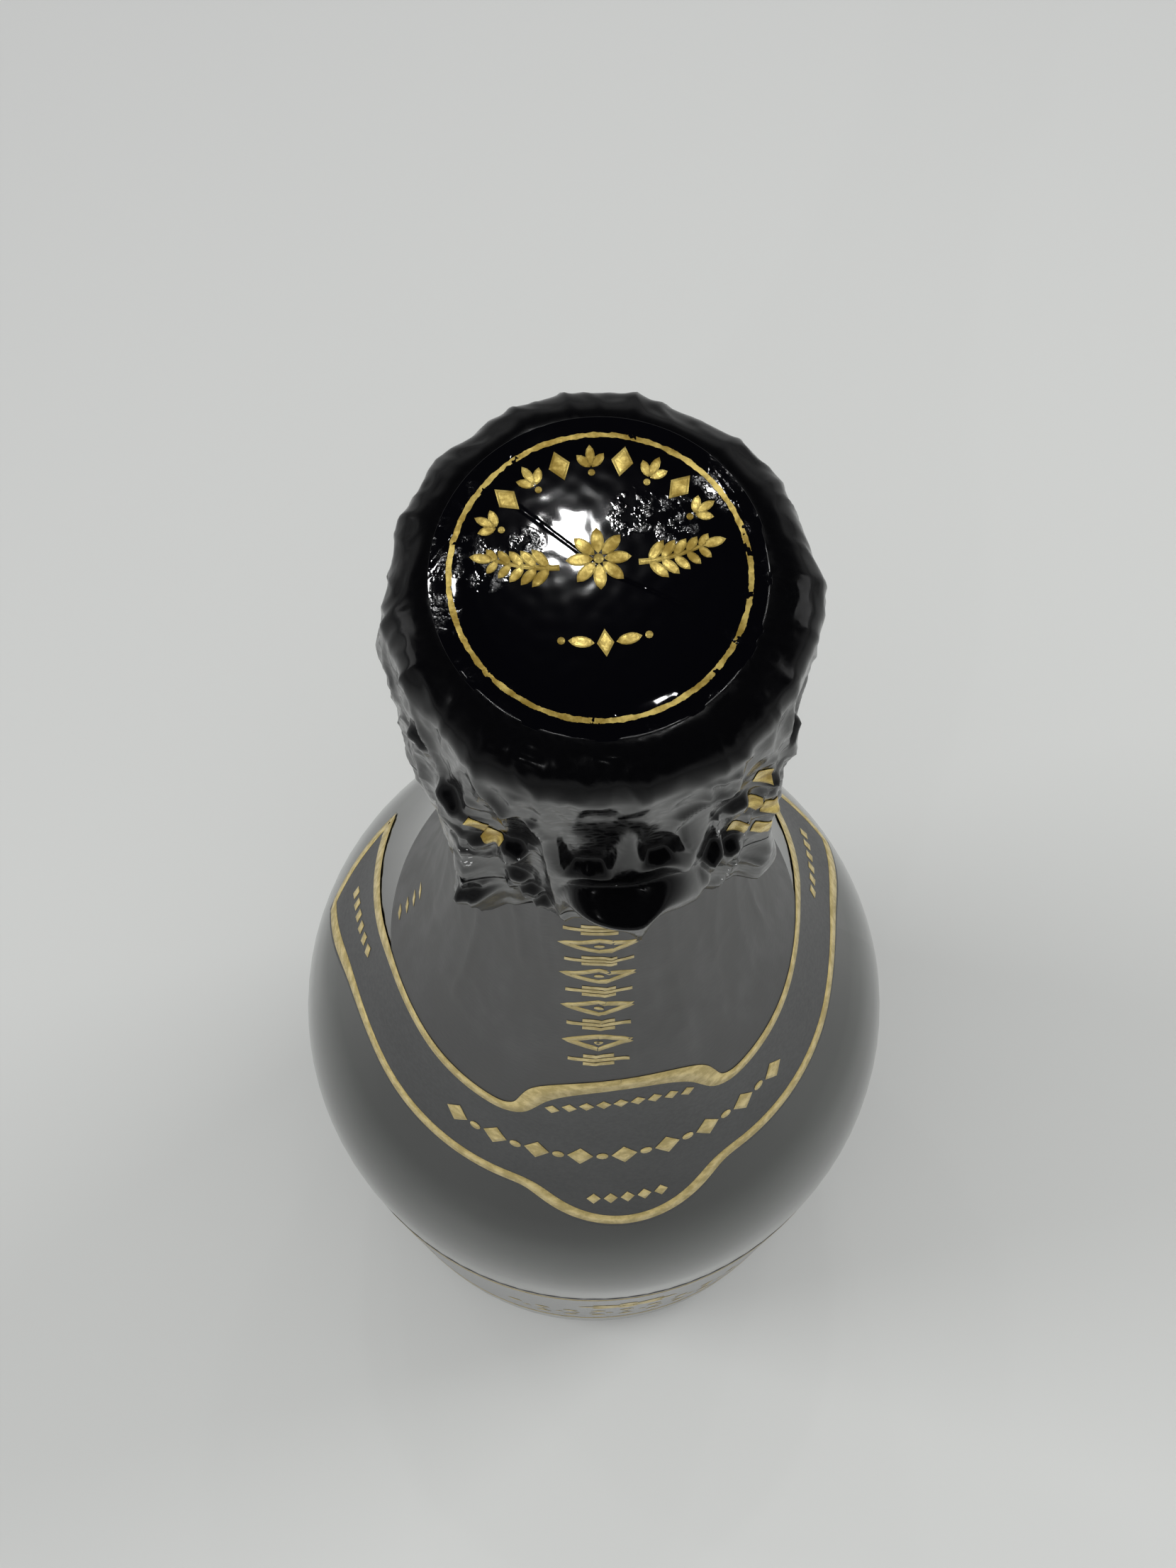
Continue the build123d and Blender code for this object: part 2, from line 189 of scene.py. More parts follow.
def makeGoldLeaf():
    group, given, out = newGroup(
        "goldLeaf", [("Size", "Float", 0.0012), ("Deep", "Color", None), ("Bright", "Color", None)],
        [("Colour", "Color"), ("Rough", "Float")],
    )
    patches = clouds(group, inUnits(group, given, "Size"), 0.7, Detail=4, Roughness=0.65)
    shine = between(group, patches, 0.36, 0.66)
    feed(group, out["Colour"], mixColour(group, shine, given["Deep"], given["Bright"]))
    feed(group, out["Rough"], between(group, patches, 0.3, 0.7, 0.42, 0.2))
    return group


def makePrintedRing():
    # a thin circle printed round the axis, with gaps where the ink has cracked
    group, given, out = newGroup(
        "printedRing", [("Radius", "Float", 0.0114), ("Width", "Float", 0.00045), ("Cracks", "Float", 0.5)],
        [("Mask", "Float")],
    )
    place = given["Vector"]
    reach = fromAxis(group, addNode(group, "SeparateXYZ", Vector=place).outputs)
    wobble = times(group, clouds(group, place, 1500, Detail=3), 0.0003, -0.00015)
    away = maths(group, "ABSOLUTE", maths(group, "SUBTRACT", reach, given["Radius"]))
    line = maths(group, "LESS_THAN", away, maths(group, "ADD", times(group, given["Width"], 0.5), wobble))
    gaps = times(group, given["Cracks"], 0.4, 0.2)
    kept = maths(group, "GREATER_THAN", clouds(group, place, 700, Detail=3), gaps)
    feed(group, out["Mask"], times(group, line, kept))
    return group


def makeDust():
    group, given, out = newGroup(
        "dustSpecks", [("Spacing", "Float", 0.004), ("Amount", "Float", 0.3)], [("Mask", "Float")]
    )
    cells = addNode(group, "TexVoronoi", Vector=inUnits(group, given, "Spacing"), Scale=1).outputs
    pick = addNode(group, "SeparateColor", Color=cells["Color"]).outputs[0]
    size = times(group, maths(group, "LESS_THAN", pick, given["Amount"]), 0.035)
    feed(group, out["Mask"], maths(group, "LESS_THAN", cells["Distance"], size))
    return group


leatherGrain, goldLeaf = makeLeatherGrain(), makeGoldLeaf()
printedRing, dustSpecks = makePrintedRing(), makeDust()
goldTones = {"Deep": (0.40, 0.27, 0.05, 1), "Bright": (0.88, 0.68, 0.20, 1)}
dullGold = {"Deep": (0.52, 0.41, 0.16, 1), "Bright": (0.78, 0.63, 0.28, 1)}

# Materials

foilLook = {
    "lacquer": (0.0016, 0.0016, 0.002, 1), "bareMetal": (0.78, 0.79, 0.80, 1), "dust": (0.5, 0.5, 0.5, 1),
    "grain": 0.0011, "grainStrength": 0.25, "grainDepth": 0.04,
}


def makeBlackFoil(look):
    material, tree, shader, place = newMaterial("blackFoil", Specular_IOR_Level=0.22)
    grain = useGroup(tree, leatherGrain, Vector=place, Size=look["grain"])
    patch = between(tree, clouds(tree, place, 130, Detail=2), 0.52, 0.66, 0.02, 1)
    worn = addNode(tree, "Attribute", {"attribute_name": "wear"}).outputs["Fac"]
    chips = maths(tree, "GREATER_THAN", times(tree, worn, times(tree, grain["Fleck"], 0.75, 0.35)), 0.5)
    dust = useGroup(tree, dustSpecks, Vector=place, Spacing=0.0032, Amount=0.25)["Mask"]
    lacquer = mixColour(tree, dust, look["lacquer"], look["dust"])
    feedNamed(tree, shader, Metallic=times(tree, chips, 0.4))
    dress(
        tree, shader, mixColour(tree, chips, lacquer, look["bareMetal"]),
        between(tree, grain["Height"], 0.2, 0.9, 0.20, 0.11),
        times(tree, grain["Height"], patch), look["grainStrength"], look["grainDepth"],
    )
    return material


discLook = {
    "lacquer": (0.0010, 0.0010, 0.0018, 1), "height": 0.31985,
    "ring": {"Radius": 0.0114, "Width": 0.00042, "Cracks": 0.42},
    "grain": 0.00055, "grainStrength": 0.30, "grainDepth": 0.04,
    # where the lacquer is finely wrinkled: x and y on the disc, reach
    "wrinkled": [
        (-11.4, 4.2, 3.6), (-8.6, 1.6, 2.4), (-9, 8.4, 2.6), (-5.2, 3.2, 1.6), (3.4, 4.6, 2.4),
        (6.4, 3.6, 2.6), (10.4, 6.6, 3.4), (12.8, 2, 2.4), (12.6, -2.4, 3.2), (10.6, -6.6, 3.2),
        (-8.6, -9.4, 2.6), (-10.8, -6.4, 2.2), (3, -12.9, 1.8), (7.4, -11.6, 2.2), (-12.4, -1.4, 2.2),
    ],
}


def makeDiscFoil(look):
    material, tree, shader, place = newMaterial("printedDisc")
    grain = useGroup(tree, leatherGrain, Vector=place, Size=look["grain"])
    ring = patch = useGroup(tree, printedRing, Vector=place, **look["ring"])["Mask"]
    leaf = useGroup(tree, goldLeaf, Vector=place, **goldTones)
    for x, y, reach in look["wrinkled"]:
        away = vectorMaths(tree, "DISTANCE", place, (x * mm, y * mm, look["height"]))["Value"]
        near = between(tree, away, reach * mm, reach * 0.5 * mm)
        patch = maths(tree, "MAXIMUM", patch, near)
    patch = times(tree, patch, between(tree, clouds(tree, place, 850, Detail=3), 0.42, 0.60))
    patch = times(tree, patch, 0.995, 0.005)
    feedNamed(tree, shader, Metallic=times(tree, ring, 0.6))
    dress(
        tree, shader, mixColour(tree, ring, look["lacquer"], leaf["Colour"]),
        maths(tree, "MAXIMUM", between(tree, patch, 0.05, 1, 0.03, 0.13), times(tree, ring, 0.28)),
        times(tree, grain["Height"], patch), look["grainStrength"], look["grainDepth"],
    )
    return material


# sheenStreak is a lighter colour laid in streaks down the neck foil: painted streaks of sheen
satinLook = {"lacquer": (0.018, 0.018, 0.019, 1), "sheenStreak": (0.045, 0.045, 0.044, 1), "rough": (0.40, 0.52)}


def makeSatinFoil(look):
    material, tree, shader, place = newMaterial("satinFoil")
    grain = useGroup(tree, leatherGrain, Vector=place, Size=0.0014)
    stretch = addNode(tree, "Mapping", Vector=place, Scale=(260, 260, 24)).outputs[0]
    streaks = clouds(tree, stretch, 1, Detail=3)
    tone = between(tree, streaks, 0.35, 0.7)
    # painted sheen: the streaks lighten the foil's colour toward sheenStreak, and also vary its roughness
    dress(
        tree, shader, mixColour(tree, tone, look["lacquer"], look["sheenStreak"]),
        between(tree, streaks, 0.3, 0.7, *look["rough"]), grain["Height"], 0.25, 0.04,
    )
    return material


def makeGoldPrint(name, tones, roughness, metallic):
    material, tree, shader, place = newMaterial(name, Metallic=metallic)
    leaf = useGroup(tree, goldLeaf, Vector=place, **tones)
    grain = useGroup(tree, leatherGrain, Vector=place, Size=0.0007)
    rough = maths(tree, "ADD", leaf["Rough"], roughness)
    dress(tree, shader, leaf["Colour"], rough, grain["Height"], 0.4, 0.04)
    return material


def makeLabelPaper(name, smoothest, roughest):
    material, tree, shader, place = newMaterial(name, Sheen_Weight=0.05)
    fibres = clouds(tree, place, 1500, Detail=5, Roughness=0.7)
    tone = between(tree, clouds(tree, place, 90, Detail=3), 0.3, 0.7)
    ink = mixColour(tree, tone, (0.014, 0.015, 0.016, 1), (0.022, 0.023, 0.024, 1))
    # painted light on the label's edge: where the surface doesn't face away from the axis (the paper's edge
    # and its face on the glass) it is painted pale grey; partly the paler edge of the paper, partly painted
    # light over the dark line of shade between label and glass
    outward = vectorMaths(tree, "NORMALIZE", vectorMaths(tree, "MULTIPLY", place, (1, 1, 0))[0])[0]
    normal = addNode(tree, "NewGeometry").outputs["Normal"]
    paleEdgeAndPaintedLight = maths(tree, "LESS_THAN", vectorMaths(tree, "DOT_PRODUCT", outward, normal)["Value"], 0.12)
    dress(
        tree, shader, mixColour(tree, paleEdgeAndPaintedLight, ink, (0.24, 0.24, 0.23, 1)),
        between(tree, fibres, 0.3, 0.7, smoothest, roughest), fibres, 0.2, 0.02,
    )
    return material


def makeDarkGlass():
    material, tree, shader, place = newMaterial("darkGlass", Metallic=0, Transmission_Weight=1, IOR=1.51)
    waves = clouds(tree, place, 45, Detail=2)
    seeds = useGroup(tree, dustSpecks, Vector=place, Spacing=0.011, Amount=0.35)["Mask"]
    tone = between(tree, waves, 0.35, 0.65)
    green = mixColour(tree, tone, (0.010, 0.016, 0.011, 1), (0.014, 0.021, 0.014, 1))
    dress(tree, shader, green, times(tree, seeds, 0.3, 0.11), waves, 0.08, 0.3)
    return material


def makeWine():
    material, tree, shader, place = newMaterial("paleWine", Transmission_Weight=1, IOR=1.34, Roughness=0)
    gold = mixColour(tree, clouds(tree, place, 20), (0.86, 0.74, 0.36, 1), (0.88, 0.78, 0.42, 1))
    feedNamed(tree, shader, Base_Color=gold)
    return material


def makeCork(name, crumb, pale, dark):
    material, tree, shader, place = newMaterial(name)
    grains = addNode(tree, "TexVoronoi", Vector=place, Scale=1 / crumb).outputs
    edges = addNode(tree, "TexVoronoi", toEdge, Vector=place, Scale=1 / crumb).outputs
    shade = addNode(tree, "SeparateColor", Color=grains["Color"]).outputs[0]
    body = mixColour(tree, shade, pale, tuple(0.78 * c for c in pale[:3]) + (1,))
    seams = between(tree, edges["Distance"], 0, 0.09, 1, 0)
    pits = between(tree, clouds(tree, place, 420, Detail=3), 0.60, 0.68)
    mask = maths(tree, "MAXIMUM", times(tree, seams, 0.6), times(tree, pits, 0.8))
    dress(
        tree, shader, mixColour(tree, mask, body, dark), between(tree, shade, 0, 1, 0.78, 0.92),
        maths(tree, "SUBTRACT", 1, mask), 0.6, 0.15,
    )
    return material


def makePlaqueLacquer():
    # black lacquered cap with a printed ring and a plain eight-petal flower
    material, tree, shader, place = newMaterial("plaqueLacquer", Coat_Weight=0.6)
    ring = useGroup(tree, printedRing, Vector=place, Radius=0.0098, Width=0.0005, Cracks=0.1)["Mask"]
    axes = addNode(tree, "SeparateXYZ", Vector=place).outputs
    angle = times(tree, maths(tree, "ARCTAN2", axes["X"], axes["Y"]), 4)
    petals = maths(tree, "ABSOLUTE", maths(tree, "COSINE", angle))
    reach = fromAxis(tree, axes)
    flower = maths(tree, "LESS_THAN", reach, times(tree, petals, 0.0045, 0.0012))
    core = maths(tree, "GREATER_THAN", reach, 0.0011)
    gold = maths(tree, "MAXIMUM", ring, times(tree, flower, core))
    leaf = useGroup(tree, goldLeaf, Vector=place, **goldTones)
    feedNamed(tree, shader, Metallic=gold)
    dress(
        tree, shader, mixColour(tree, gold, (0.010, 0.010, 0.012, 1), leaf["Colour"]),
        between(tree, leaf["Rough"], 0.2, 0.42, 0.2, 0.3), gold, 0.4, 0.05,
    )
    return material


def makeCageWire():
    material, tree, shader, place = newMaterial("cageWire", Metallic=1)
    spangle = clouds(tree, place, 900, Detail=4)
    tone = between(tree, spangle, 0.3, 0.7)
    dress(
        tree, shader, mixColour(tree, tone, (0.40, 0.41, 0.41, 1), (0.62, 0.63, 0.62, 1)),
        between(tree, spangle, 0.3, 0.7, 0.42, 0.26), spangle, 0.3, 0.03,
    )
    return material


print("Bottle: materials")
blackFoil, discFoil, satinFoil = makeBlackFoil(foilLook), makeDiscFoil(discLook), makeSatinFoil(satinLook)
goldPrint = makeGoldPrint("goldPrint", goldTones, 0.02, 0.6)
goldInk = makeGoldPrint("goldInk", dullGold, 0.12, 0.4)
collarPaper, bodyPaper = makeLabelPaper("collarPaper", 0.42, 0.50), makeLabelPaper("bodyPaper", 0.17, 0.24)
cageWire = makeCageWire()
corkNatural = makeCork("corkNatural", 0.0060, (0.68, 0.48, 0.29, 1), (0.24, 0.13, 0.06, 1))
cadLooks = {
    "glass_bottle": makeDarkGlass(),
    "wine_fill": makeWine(),
    "cork_body": makeCork("corkCrumb", 0.0021, (0.62, 0.42, 0.24, 1), (0.20, 0.11, 0.05, 1)),
    "cork_disc_upper": corkNatural,
    "cork_disc_lower": corkNatural,
    "muselet_plaque": makePlaqueLacquer(),
    "muselet_cage": cageWire,
    "muselet_belt": cageWire,
}
for node, material in cadLooks.items():
    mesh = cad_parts[node].data
    mesh.materials.clear()
    mesh.materials.append(material)

# Floor, sky and lamps

studio = {
    "floorSize": 40,
    "floorColour": (0.660, 0.670, 0.655, 1),
    "floorFarShade": (0.54, 0.545, 0.54, 1),  # painted shade: the floor colour darkens a little away from the bottle, as the light falls off
    "middle": (0.08, -0.06, 0),
    "far": (0.12, 0.50),  # where that starts and ends
    "sky": [(0, 0.47), (0.16, 0.38), (0.34, 0.10), (0.6, 0.02), (1, 0.01)],  # height of the direction, level
    "frontShade": 0.25,  # the sky is darker on the side where the photographer stands
    "daylight": {"strength": 1.75, "angle": 100, "lean": (12, -5, 0)},  # wide soft light from above
    "target": (0, 0, 0.28),
    "lamps": [  # name, place in metres, size in metres, watts, whether gloss shows it
        ("windowLamp", (0.060, 0.545, 1.75), 0.030, 0.6, True),
        ("frontLamp", (-0.62, -1.2, 1.7), 0.04, 0.6, True),
        ("ceilingLampA", (-0.36, 0.55, 1.7), 0.05, 0.35, True),
        ("ceilingLampB", (0.42, 0.70, 1.6), 0.05, 0.35, True),
        ("ceilingLampC", (-0.05, 1.05, 1.5), 0.05, 0.35, True),
        ("ceilingLampD", (0.20, 0.12, 1.8), 0.04, 0.2, True),
        ("leftPanel", (-1.7, 0.3, 0.75), 0.7, 2, True),
        ("rightPanel", (1.7, 0.1, 0.85), 0.7, 2, True),
        ("leftFill", (-1.5, 0.2, 1.5), 0.8, 10, False),
        ("rightFill", (1.5, 0.5, 1.5), 0.8, 10, False),
    ],
}


def makeFloor(settings):
    bm = bmesh.new()
    bmesh.ops.create_grid(bm, x_segments=8, y_segments=8, size=settings["floorSize"] / 2)
    mesh = bpy.data.meshes.new("floor")
    bm.to_mesh(mesh)
    bm.free()
    floor = addObject("floor", mesh)
    material, tree, shader, place = newMaterial("floorPaint", Roughness=0.75, Specular_IOR_Level=0.2)
    # painted shade: the floor's colour darkens with distance from the middle, standing in for light falling
    # off
    away = vectorMaths(tree, "DISTANCE", place, settings["middle"])["Value"]
    far = between(tree, away, *settings["far"])
    feedNamed(tree, shader, Base_Color=mixColour(tree, far, settings["floorColour"], settings["floorFarShade"]))
    mesh.materials.append(material)


def makeSky(settings):
    world = bpy.data.worlds.new("studioSky")
    bpy.context.scene.world = world
    bpy.context.scene.view_settings.view_transform = "Standard"
    world.use_nodes = True
    tree = world.node_tree
    axes = addNode(tree, "SeparateXYZ", Vector=addNode(tree, "TexCoord").outputs["Generated"]).outputs
    ramp = addNode(tree, "ValToRGB", Fac=axes["Z"])
    stops = ramp.color_ramp.elements
    while len(stops) < len(settings["sky"]):
        stops.new(0.5)
    for stop, (height, level) in zip(stops, settings["sky"]):
        stop.position = height
        stop.color = (level, level, level, 1)
    high = between(tree, axes["Z"], 0.15, 0.35)
    front = times(tree, between(tree, axes["Y"], -0.15, -0.5), high)
    strength = times(tree, front, settings["frontShade"] - 1, 1)
    feedNamed(tree, tree.nodes["Background"], Color=ramp.outputs["Color"], Strength=strength)


def makeLight(name, kind, energy, place, turn):
    light = bpy.data.lights.new(name, kind)
    light.energy = energy
    lamp = addObject(name, light)
    lamp.location, lamp.rotation_euler = place, turn
    return light, lamp


def makeLamps(settings):
    day = settings["daylight"]
    lean = [math.radians(angle) for angle in day["lean"]]
    light, lamp = makeLight("daylight", "SUN", day["strength"], (0, 0, 2), lean)
    light.angle = math.radians(day["angle"])
    lamp.visible_glossy = False
    for name, spot, size, watts, shown in settings["lamps"]:
        aim = (Vector(settings["target"]) - Vector(spot)).to_track_quat("-Z", "Y").to_euler()
        light, lamp = makeLight(name, "AREA", watts, spot, aim)
        light.size = size
        lamp.visible_glossy, lamp.visible_camera = shown, False


makeFloor(studio)
makeSky(studio)
makeLamps(studio)


# Shapes of the bottle and its foil, as functions of phi and height

bottle = {
    "bodyRadius": 44.45, "shoulderHeight": 120, "shoulderRadius": 92, "meetHeight": 157.28,
    "sweepCentre": (265.11, 258.59), "sweepRadius": 250, "sweepTop": 243.6,
    "neckRadius": 13.45, "neckTaper": 0.06, "neckTop": 278.75,
}


def glassRadius(height):
    if height <= bottle["shoulderHeight"]:
        return bottle["bodyRadius"]
    if height <= bottle["meetHeight"]:
        reach = bottle["shoulderRadius"]
        return bottle["bodyRadius"] - reach + math.sqrt(reach**2 - (height - bottle["shoulderHeight"]) ** 2)
    if height <= bottle["sweepTop"]:
        across, up = bottle["sweepCentre"]
        return across - math.sqrt(bottle["sweepRadius"] ** 2 - (height - up) ** 2)
    return bottle["neckRadius"] + bottle["neckTaper"] * (bottle["neckTop"] - height)


def smooth(value, low, high):
    share = min(max((value - low) / (high - low), 0), 1)
    return share * share * (3 - 2 * share)


def blendTo(first, second, share):
    return first + (second - first) * share


def phiOf(point):
    return math.degrees(math.atan2(point[0], -point[1]))


def turned(phi, radius, height):
    angle = math.radians(phi)
    return Vector((radius * math.sin(angle), -radius * math.cos(angle), height))


def apart(phi, place):
    # the turn from a place to phi, the short way round
    return (phi - place + 180) % 360 - 180


def tableAt(table, value):
    for (low, first), (high, second) in zip(table, table[1:]):
        if value <= high:
            return blendTo(first, second, smooth(value, low, high))
    return table[-1][1]


def roundTable(table, phi):
    return tableAt(table, apart(phi, 0))


def hump(value, width, power):
    return math.exp(-((value / width) ** power))


def ripple(point, size, *shift):
    return noise.noise(point / size + Vector(shift))


def toLine(x, y, start, end):
    # how far a place lies from the line between two others
    (ax, ay), (bx, by) = start, end
    dx, dy = bx - ax, by - ay
    along = min(max(((x - ax) * dx + (y - ay) * dy) / (dx * dx + dy * dy), 0), 1)
    return math.hypot(x - ax - dx * along, y - ay - dy * along)


def crest(value, width):
    # a sharp ridge where the value crosses zero
    return 1 - min(abs(value) / width, 1)


foil = {
    "headRadius": 17.15, "cornerRadius": 4, "topHeight": 319.56, "waistRadius": 16.5,
    "tearHeight": 283, "rimHeight": 271.1, "seam": 0.005, "thickness": 0.12,
    "flatRadius": 12.4, "dip": 0.16,  # the flat top under the disc, and how much lower it lies
    "columns": 340, "step": 0.36, "fineStep": 0.2, "degree": 0.297,  # mm to a degree
    # radius of the foil at the height of the wire key, and at its lower edge
    "belly": [(-180, 16.8), (-90, 16.7), (-60, 16.8), (-30, 16.4), (-24, 16.9), (-18, 18.2), (-8, 18.35),
              (4, 18.35), (12, 18.35), (18, 18.2), (27, 16.8), (60, 16.8), (90, 16.7), (180, 16.8)],
    "rim": [(-180, 16.6), (-150, 16), (-135, 18.4), (-120, 16.2), (-90, 15.9), (-58, 16.9), (-50, 19.2),
            (-42, 18.8), (-36, 17), (-29, 15.9), (-18, 15.7), (-11, 16.1), (-4, 16.4), (4, 16.4), (9, 16.2),
            (16, 16), (24, 16.3), (33, 17.2), (38, 17.7), (43, 19.7), (49, 19.9), (57, 17.4), (66, 16.2),
            (90, 16), (120, 16.3), (135, 18.6), (150, 16.2), (180, 16.6)],
    "legs": [-45.5, 45.5, 135, -135],
    # how far out the foil stands over a leg of the cage, by height
    "legReach": [(271, 19.9), (277, 19.6), (283, 19.1), (290, 18.6), (300, 17.95), (309, 17.5), (314, 17.3)],
    # corners of the folded cap seen from above
    "corners": [-178, -163, -138, -119, -88, -72, -41, -23, 5, 27, 42, 69, 84, 114, 131, 162, 182],
    "shelf": (296, 309.5), "backPull": 0.65, "leftPull": 0.4, "beakWall": 18.3,
    "torn": [(-45.5, 290, 2.2, 3.6), (1.8, 287.2, 1.9, 2.2), (47, 271.4, 5, 0.8)],  # phi, height, reach
    "pockets": [(-10.6, 297.5, 7.8), (8.5, 299, 5.8)],  # phi, ledge height, width
    # level facets on the front corner of the cap: phi, radius, half width, half depth, rise against the slope
    "facets": [(-29, 14.9, 0.95, 0.5, 0.60), (-4.2, 14.25, 0.9, 0.45, 0.42)],
}

# drawn folds: (phi, height) points, how far out, how wide
drawnFolds = [
    ([(-26, 307.6), (-23, 304), (-22, 299), (-20.5, 292.6), (-18.2, 284.4), (-16.7, 278)], 0.65, 0.45),
    ([(-42.3, 292.5), (-39.4, 291.2), (-33.6, 294), (-27.4, 297.7)], 0.45, 0.4),
    ([(-34.6, 283.5), (-31, 280.2), (-25.2, 278), (-18.7, 277.8)], 0.5, 0.4),
    ([(26.4, 301), (28.3, 292.5), (30.3, 282.5)], 0.6, 0.35),
    ([(44, 301), (38, 295.4), (36.5, 288), (34.6, 280.6), (33.4, 275.8), (30.8, 270)], 0.8, 0.5),
    ([(42.8, 276.2), (33.8, 281.5)], 0.35, 0.35),
    ([(30.5, 316.5), (30.2, 308.8), (22.6, 310.6), (14.9, 308.2), (12.4, 305.2), (17, 300), (15.4, 295.6)],
     0.7, 0.9),
    ([(34, 318.5), (32.8, 314.8), (30.4, 312.8), (21.3, 314.6), (21.2, 311.7)], 0.4, 0.6),
    ([(-44, 318), (-41, 314), (-38, 311.4), (-34, 309)], 0.6, 0.7),
    ([(-29.9, 314.2), (-33, 308), (-34, 303)], 0.5, 0.7),
    ([(-70, 317), (-60, 309), (-53, 299), (-50, 291), (-49, 284)], 0.8, 0.9),
    ([(54, 318), (51, 310), (53, 300), (51, 290)], 0.8, 0.8),
    ([(-86, 316), (-80, 300), (-88, 290), (-79, 278)], 0.7, 0.9),
    ([(84, 316), (88, 303), (80, 294), (84, 281)], 0.7, 0.9),
    ([(-50.4, 283), (-49.8, 277), (-50.8, 272)], 0.5, 0.35),
    ([(-45.8, 282.6), (-46.6, 277), (-45.7, 272)], 0.55, 0.35),
    ([(-41.4, 282), (-42.2, 277), (-41, 272.5)], 0.45, 0.3),
]
# steps where the foil turns level and mirrors the dark above: phi, height, width, how far out, fall below
drawnSteps = [
    (-32.3, 297, 4.5, 1.3, 9), (-32, 286.5, 3.2, 0.9, 7), (-28, 283.7, 3, 1, 7),
    (-24, 281.5, 2.6, 0.9, 6), (-41.5, 296.4, 2.6, 0.8, 6), (24.8, 293.5, 3.2, 1.9, 12),
    (32, 289.5, 3, 1.5, 10), (33, 301.6, 4, 1, 8), (-51, 303, 4.2, 1.3, 11),
    (-66, 307, 4.5, 1.1, 10), (58, 303.5, 4.5, 1.2, 11), (-43.5, 279.8, 4.4, 1.2, 8.2),
]
# the beak of foil over the wire key, by phi: height of its root, height and radius of its edge, hang
beak = [
    (-18.5, 291.2, 288.8, 18.4, 0.3), (-15, 293.6, 292, 19.6, 0.3), (-12, 294.2, 292.7, 20.5, 0.3),
    (-8.5, 294.4, 292.9, 21.2, 0.3), (-4.7, 294.3, 292.8, 21.65, 0.3), (-1.5, 294, 292.5, 21.85, 0.6),
    (0.4, 293.8, 292.3, 21.9, 2.6), (1.8, 293.8, 292.3, 21.9, 5.4), (3.2, 293.9, 292.4, 21.7, 2.6),
    (5, 294.1, 292.5, 21.3, 0.6), (8, 294.4, 292.4, 20.7, 1.2), (12, 294.6, 291, 20.3, 1.6),
    (16, 294, 289, 20, 1.4), (20, 291.6, 286.6, 19.6, 1.2), (25, 288.2, 284.4, 19.1, 1),
    (29, 285, 282.4, 18.3, 1),
]


def makeRandomFolds(count, seed):
    chance = random.Random(seed)
    drawn = []
    for i in range(count):
        phi = 70 + 220 * (i + chance.random()) / count
        height = chance.uniform(300, 316)
        points = [(phi, height)]
        for step in range(chance.randint(2, 4)):
            phi += chance.uniform(-9, 9)
            height -= chance.uniform(4, 10)
            points.append((phi, max(height, 273)))
        drawn.append((points, chance.uniform(0.3, 0.75), chance.uniform(0.7, 1.2)))
    return drawn


folds = drawnFolds + makeRandomFolds(22, 7)


def foldLift(phi, height):
    lift = 0
    for points, reach, width in folds:
        if abs(apart(points[0][0], phi)) > 50:
            continue
        nearest = 9
        for (phiA, zA), (phiB, zB) in zip(points, points[1:]):
            x = apart(phiA, phi) * foil["degree"]
            end = (x + (phiB - phiA) * foil["degree"], zB - height)
            nearest = min(nearest, toLine(0, 0, (x, zA - height), end))
        if nearest < 3.5 * width:
            lift += reach * hump(nearest, width, 1.3)
    return min(lift, 1.2)


def stepLift(phi, height):
    lift = 0
    for place, middle, width, reach, fall in drawnSteps:
        if abs(phi - place) < 2.5 * width:
            share = hump(phi - place, width, 4)
            back = 1 - smooth(height, middle - 0.8, middle - fall)
            lift += reach * share * smooth(height, middle + 0.8, middle - 0.8) * back
    return lift


def cornerSag(phi):
    # how far a flat side of the folded cap lies inside the circle, and a fine crease at its corners
    phi = (phi + 178) % 360 - 178
    for start, end in zip(foil["corners"], foil["corners"][1:]):
        if start <= phi <= end:
            half = math.radians(end - start) / 2
            sag = 1 - math.cos(half) / math.cos(math.radians(phi - (start + end) / 2))
            edge = min(phi - start, end - phi) * 0.3
            return 0.8 * sag - 0.003 * hump(edge, 0.4, 1)
    return 0


noise.seed_set(7)  # without a seed noise_vector gives other creases in each run


def crumple(point, phi, height):
    # long upright creases with flat cheeks between them, calm in front and near the top
    warp = noise.noise_vector(point / 9) * 1.3
    bent = Vector((point.x + warp.x, point.y + warp.y, point.z * 0.28 + warp.z * 0.5))
    lift = 0.36 * crest(ripple(bent, 4.4, 3, 1, 7), 0.24) + 0.13 * crest(ripple(bent, 2, 9, 4, 2), 0.22)
    gaps = noise.voronoi(Vector((point.x, point.y, point.z * 0.5)) / 4.2)[0]
    lift -= 0.30 * min(gaps[1] - gaps[0], 0.7)
    squashed = Vector((point.x, point.y, point.z * 0.3))
    soft = 0.20 * ripple(point, 3.6, 5, 2, 8) + 0.16 * crest(ripple(squashed, 2.3, 1, 6, 2), 0.3)
    soft *= smooth(height, 306, 314)
    calm = blendTo(1, 0.15, hump(phi - 1, 27, 6)) * blendTo(1, 0.5, hump(phi, 54, 8))
    calm *= 1 - 0.8 * hump(phi - 1, 19, 6) * smooth(height, 304, 300)
    calm *= blendTo(1, 0.25, smooth(height, 305, 314))
    return lift * calm + soft


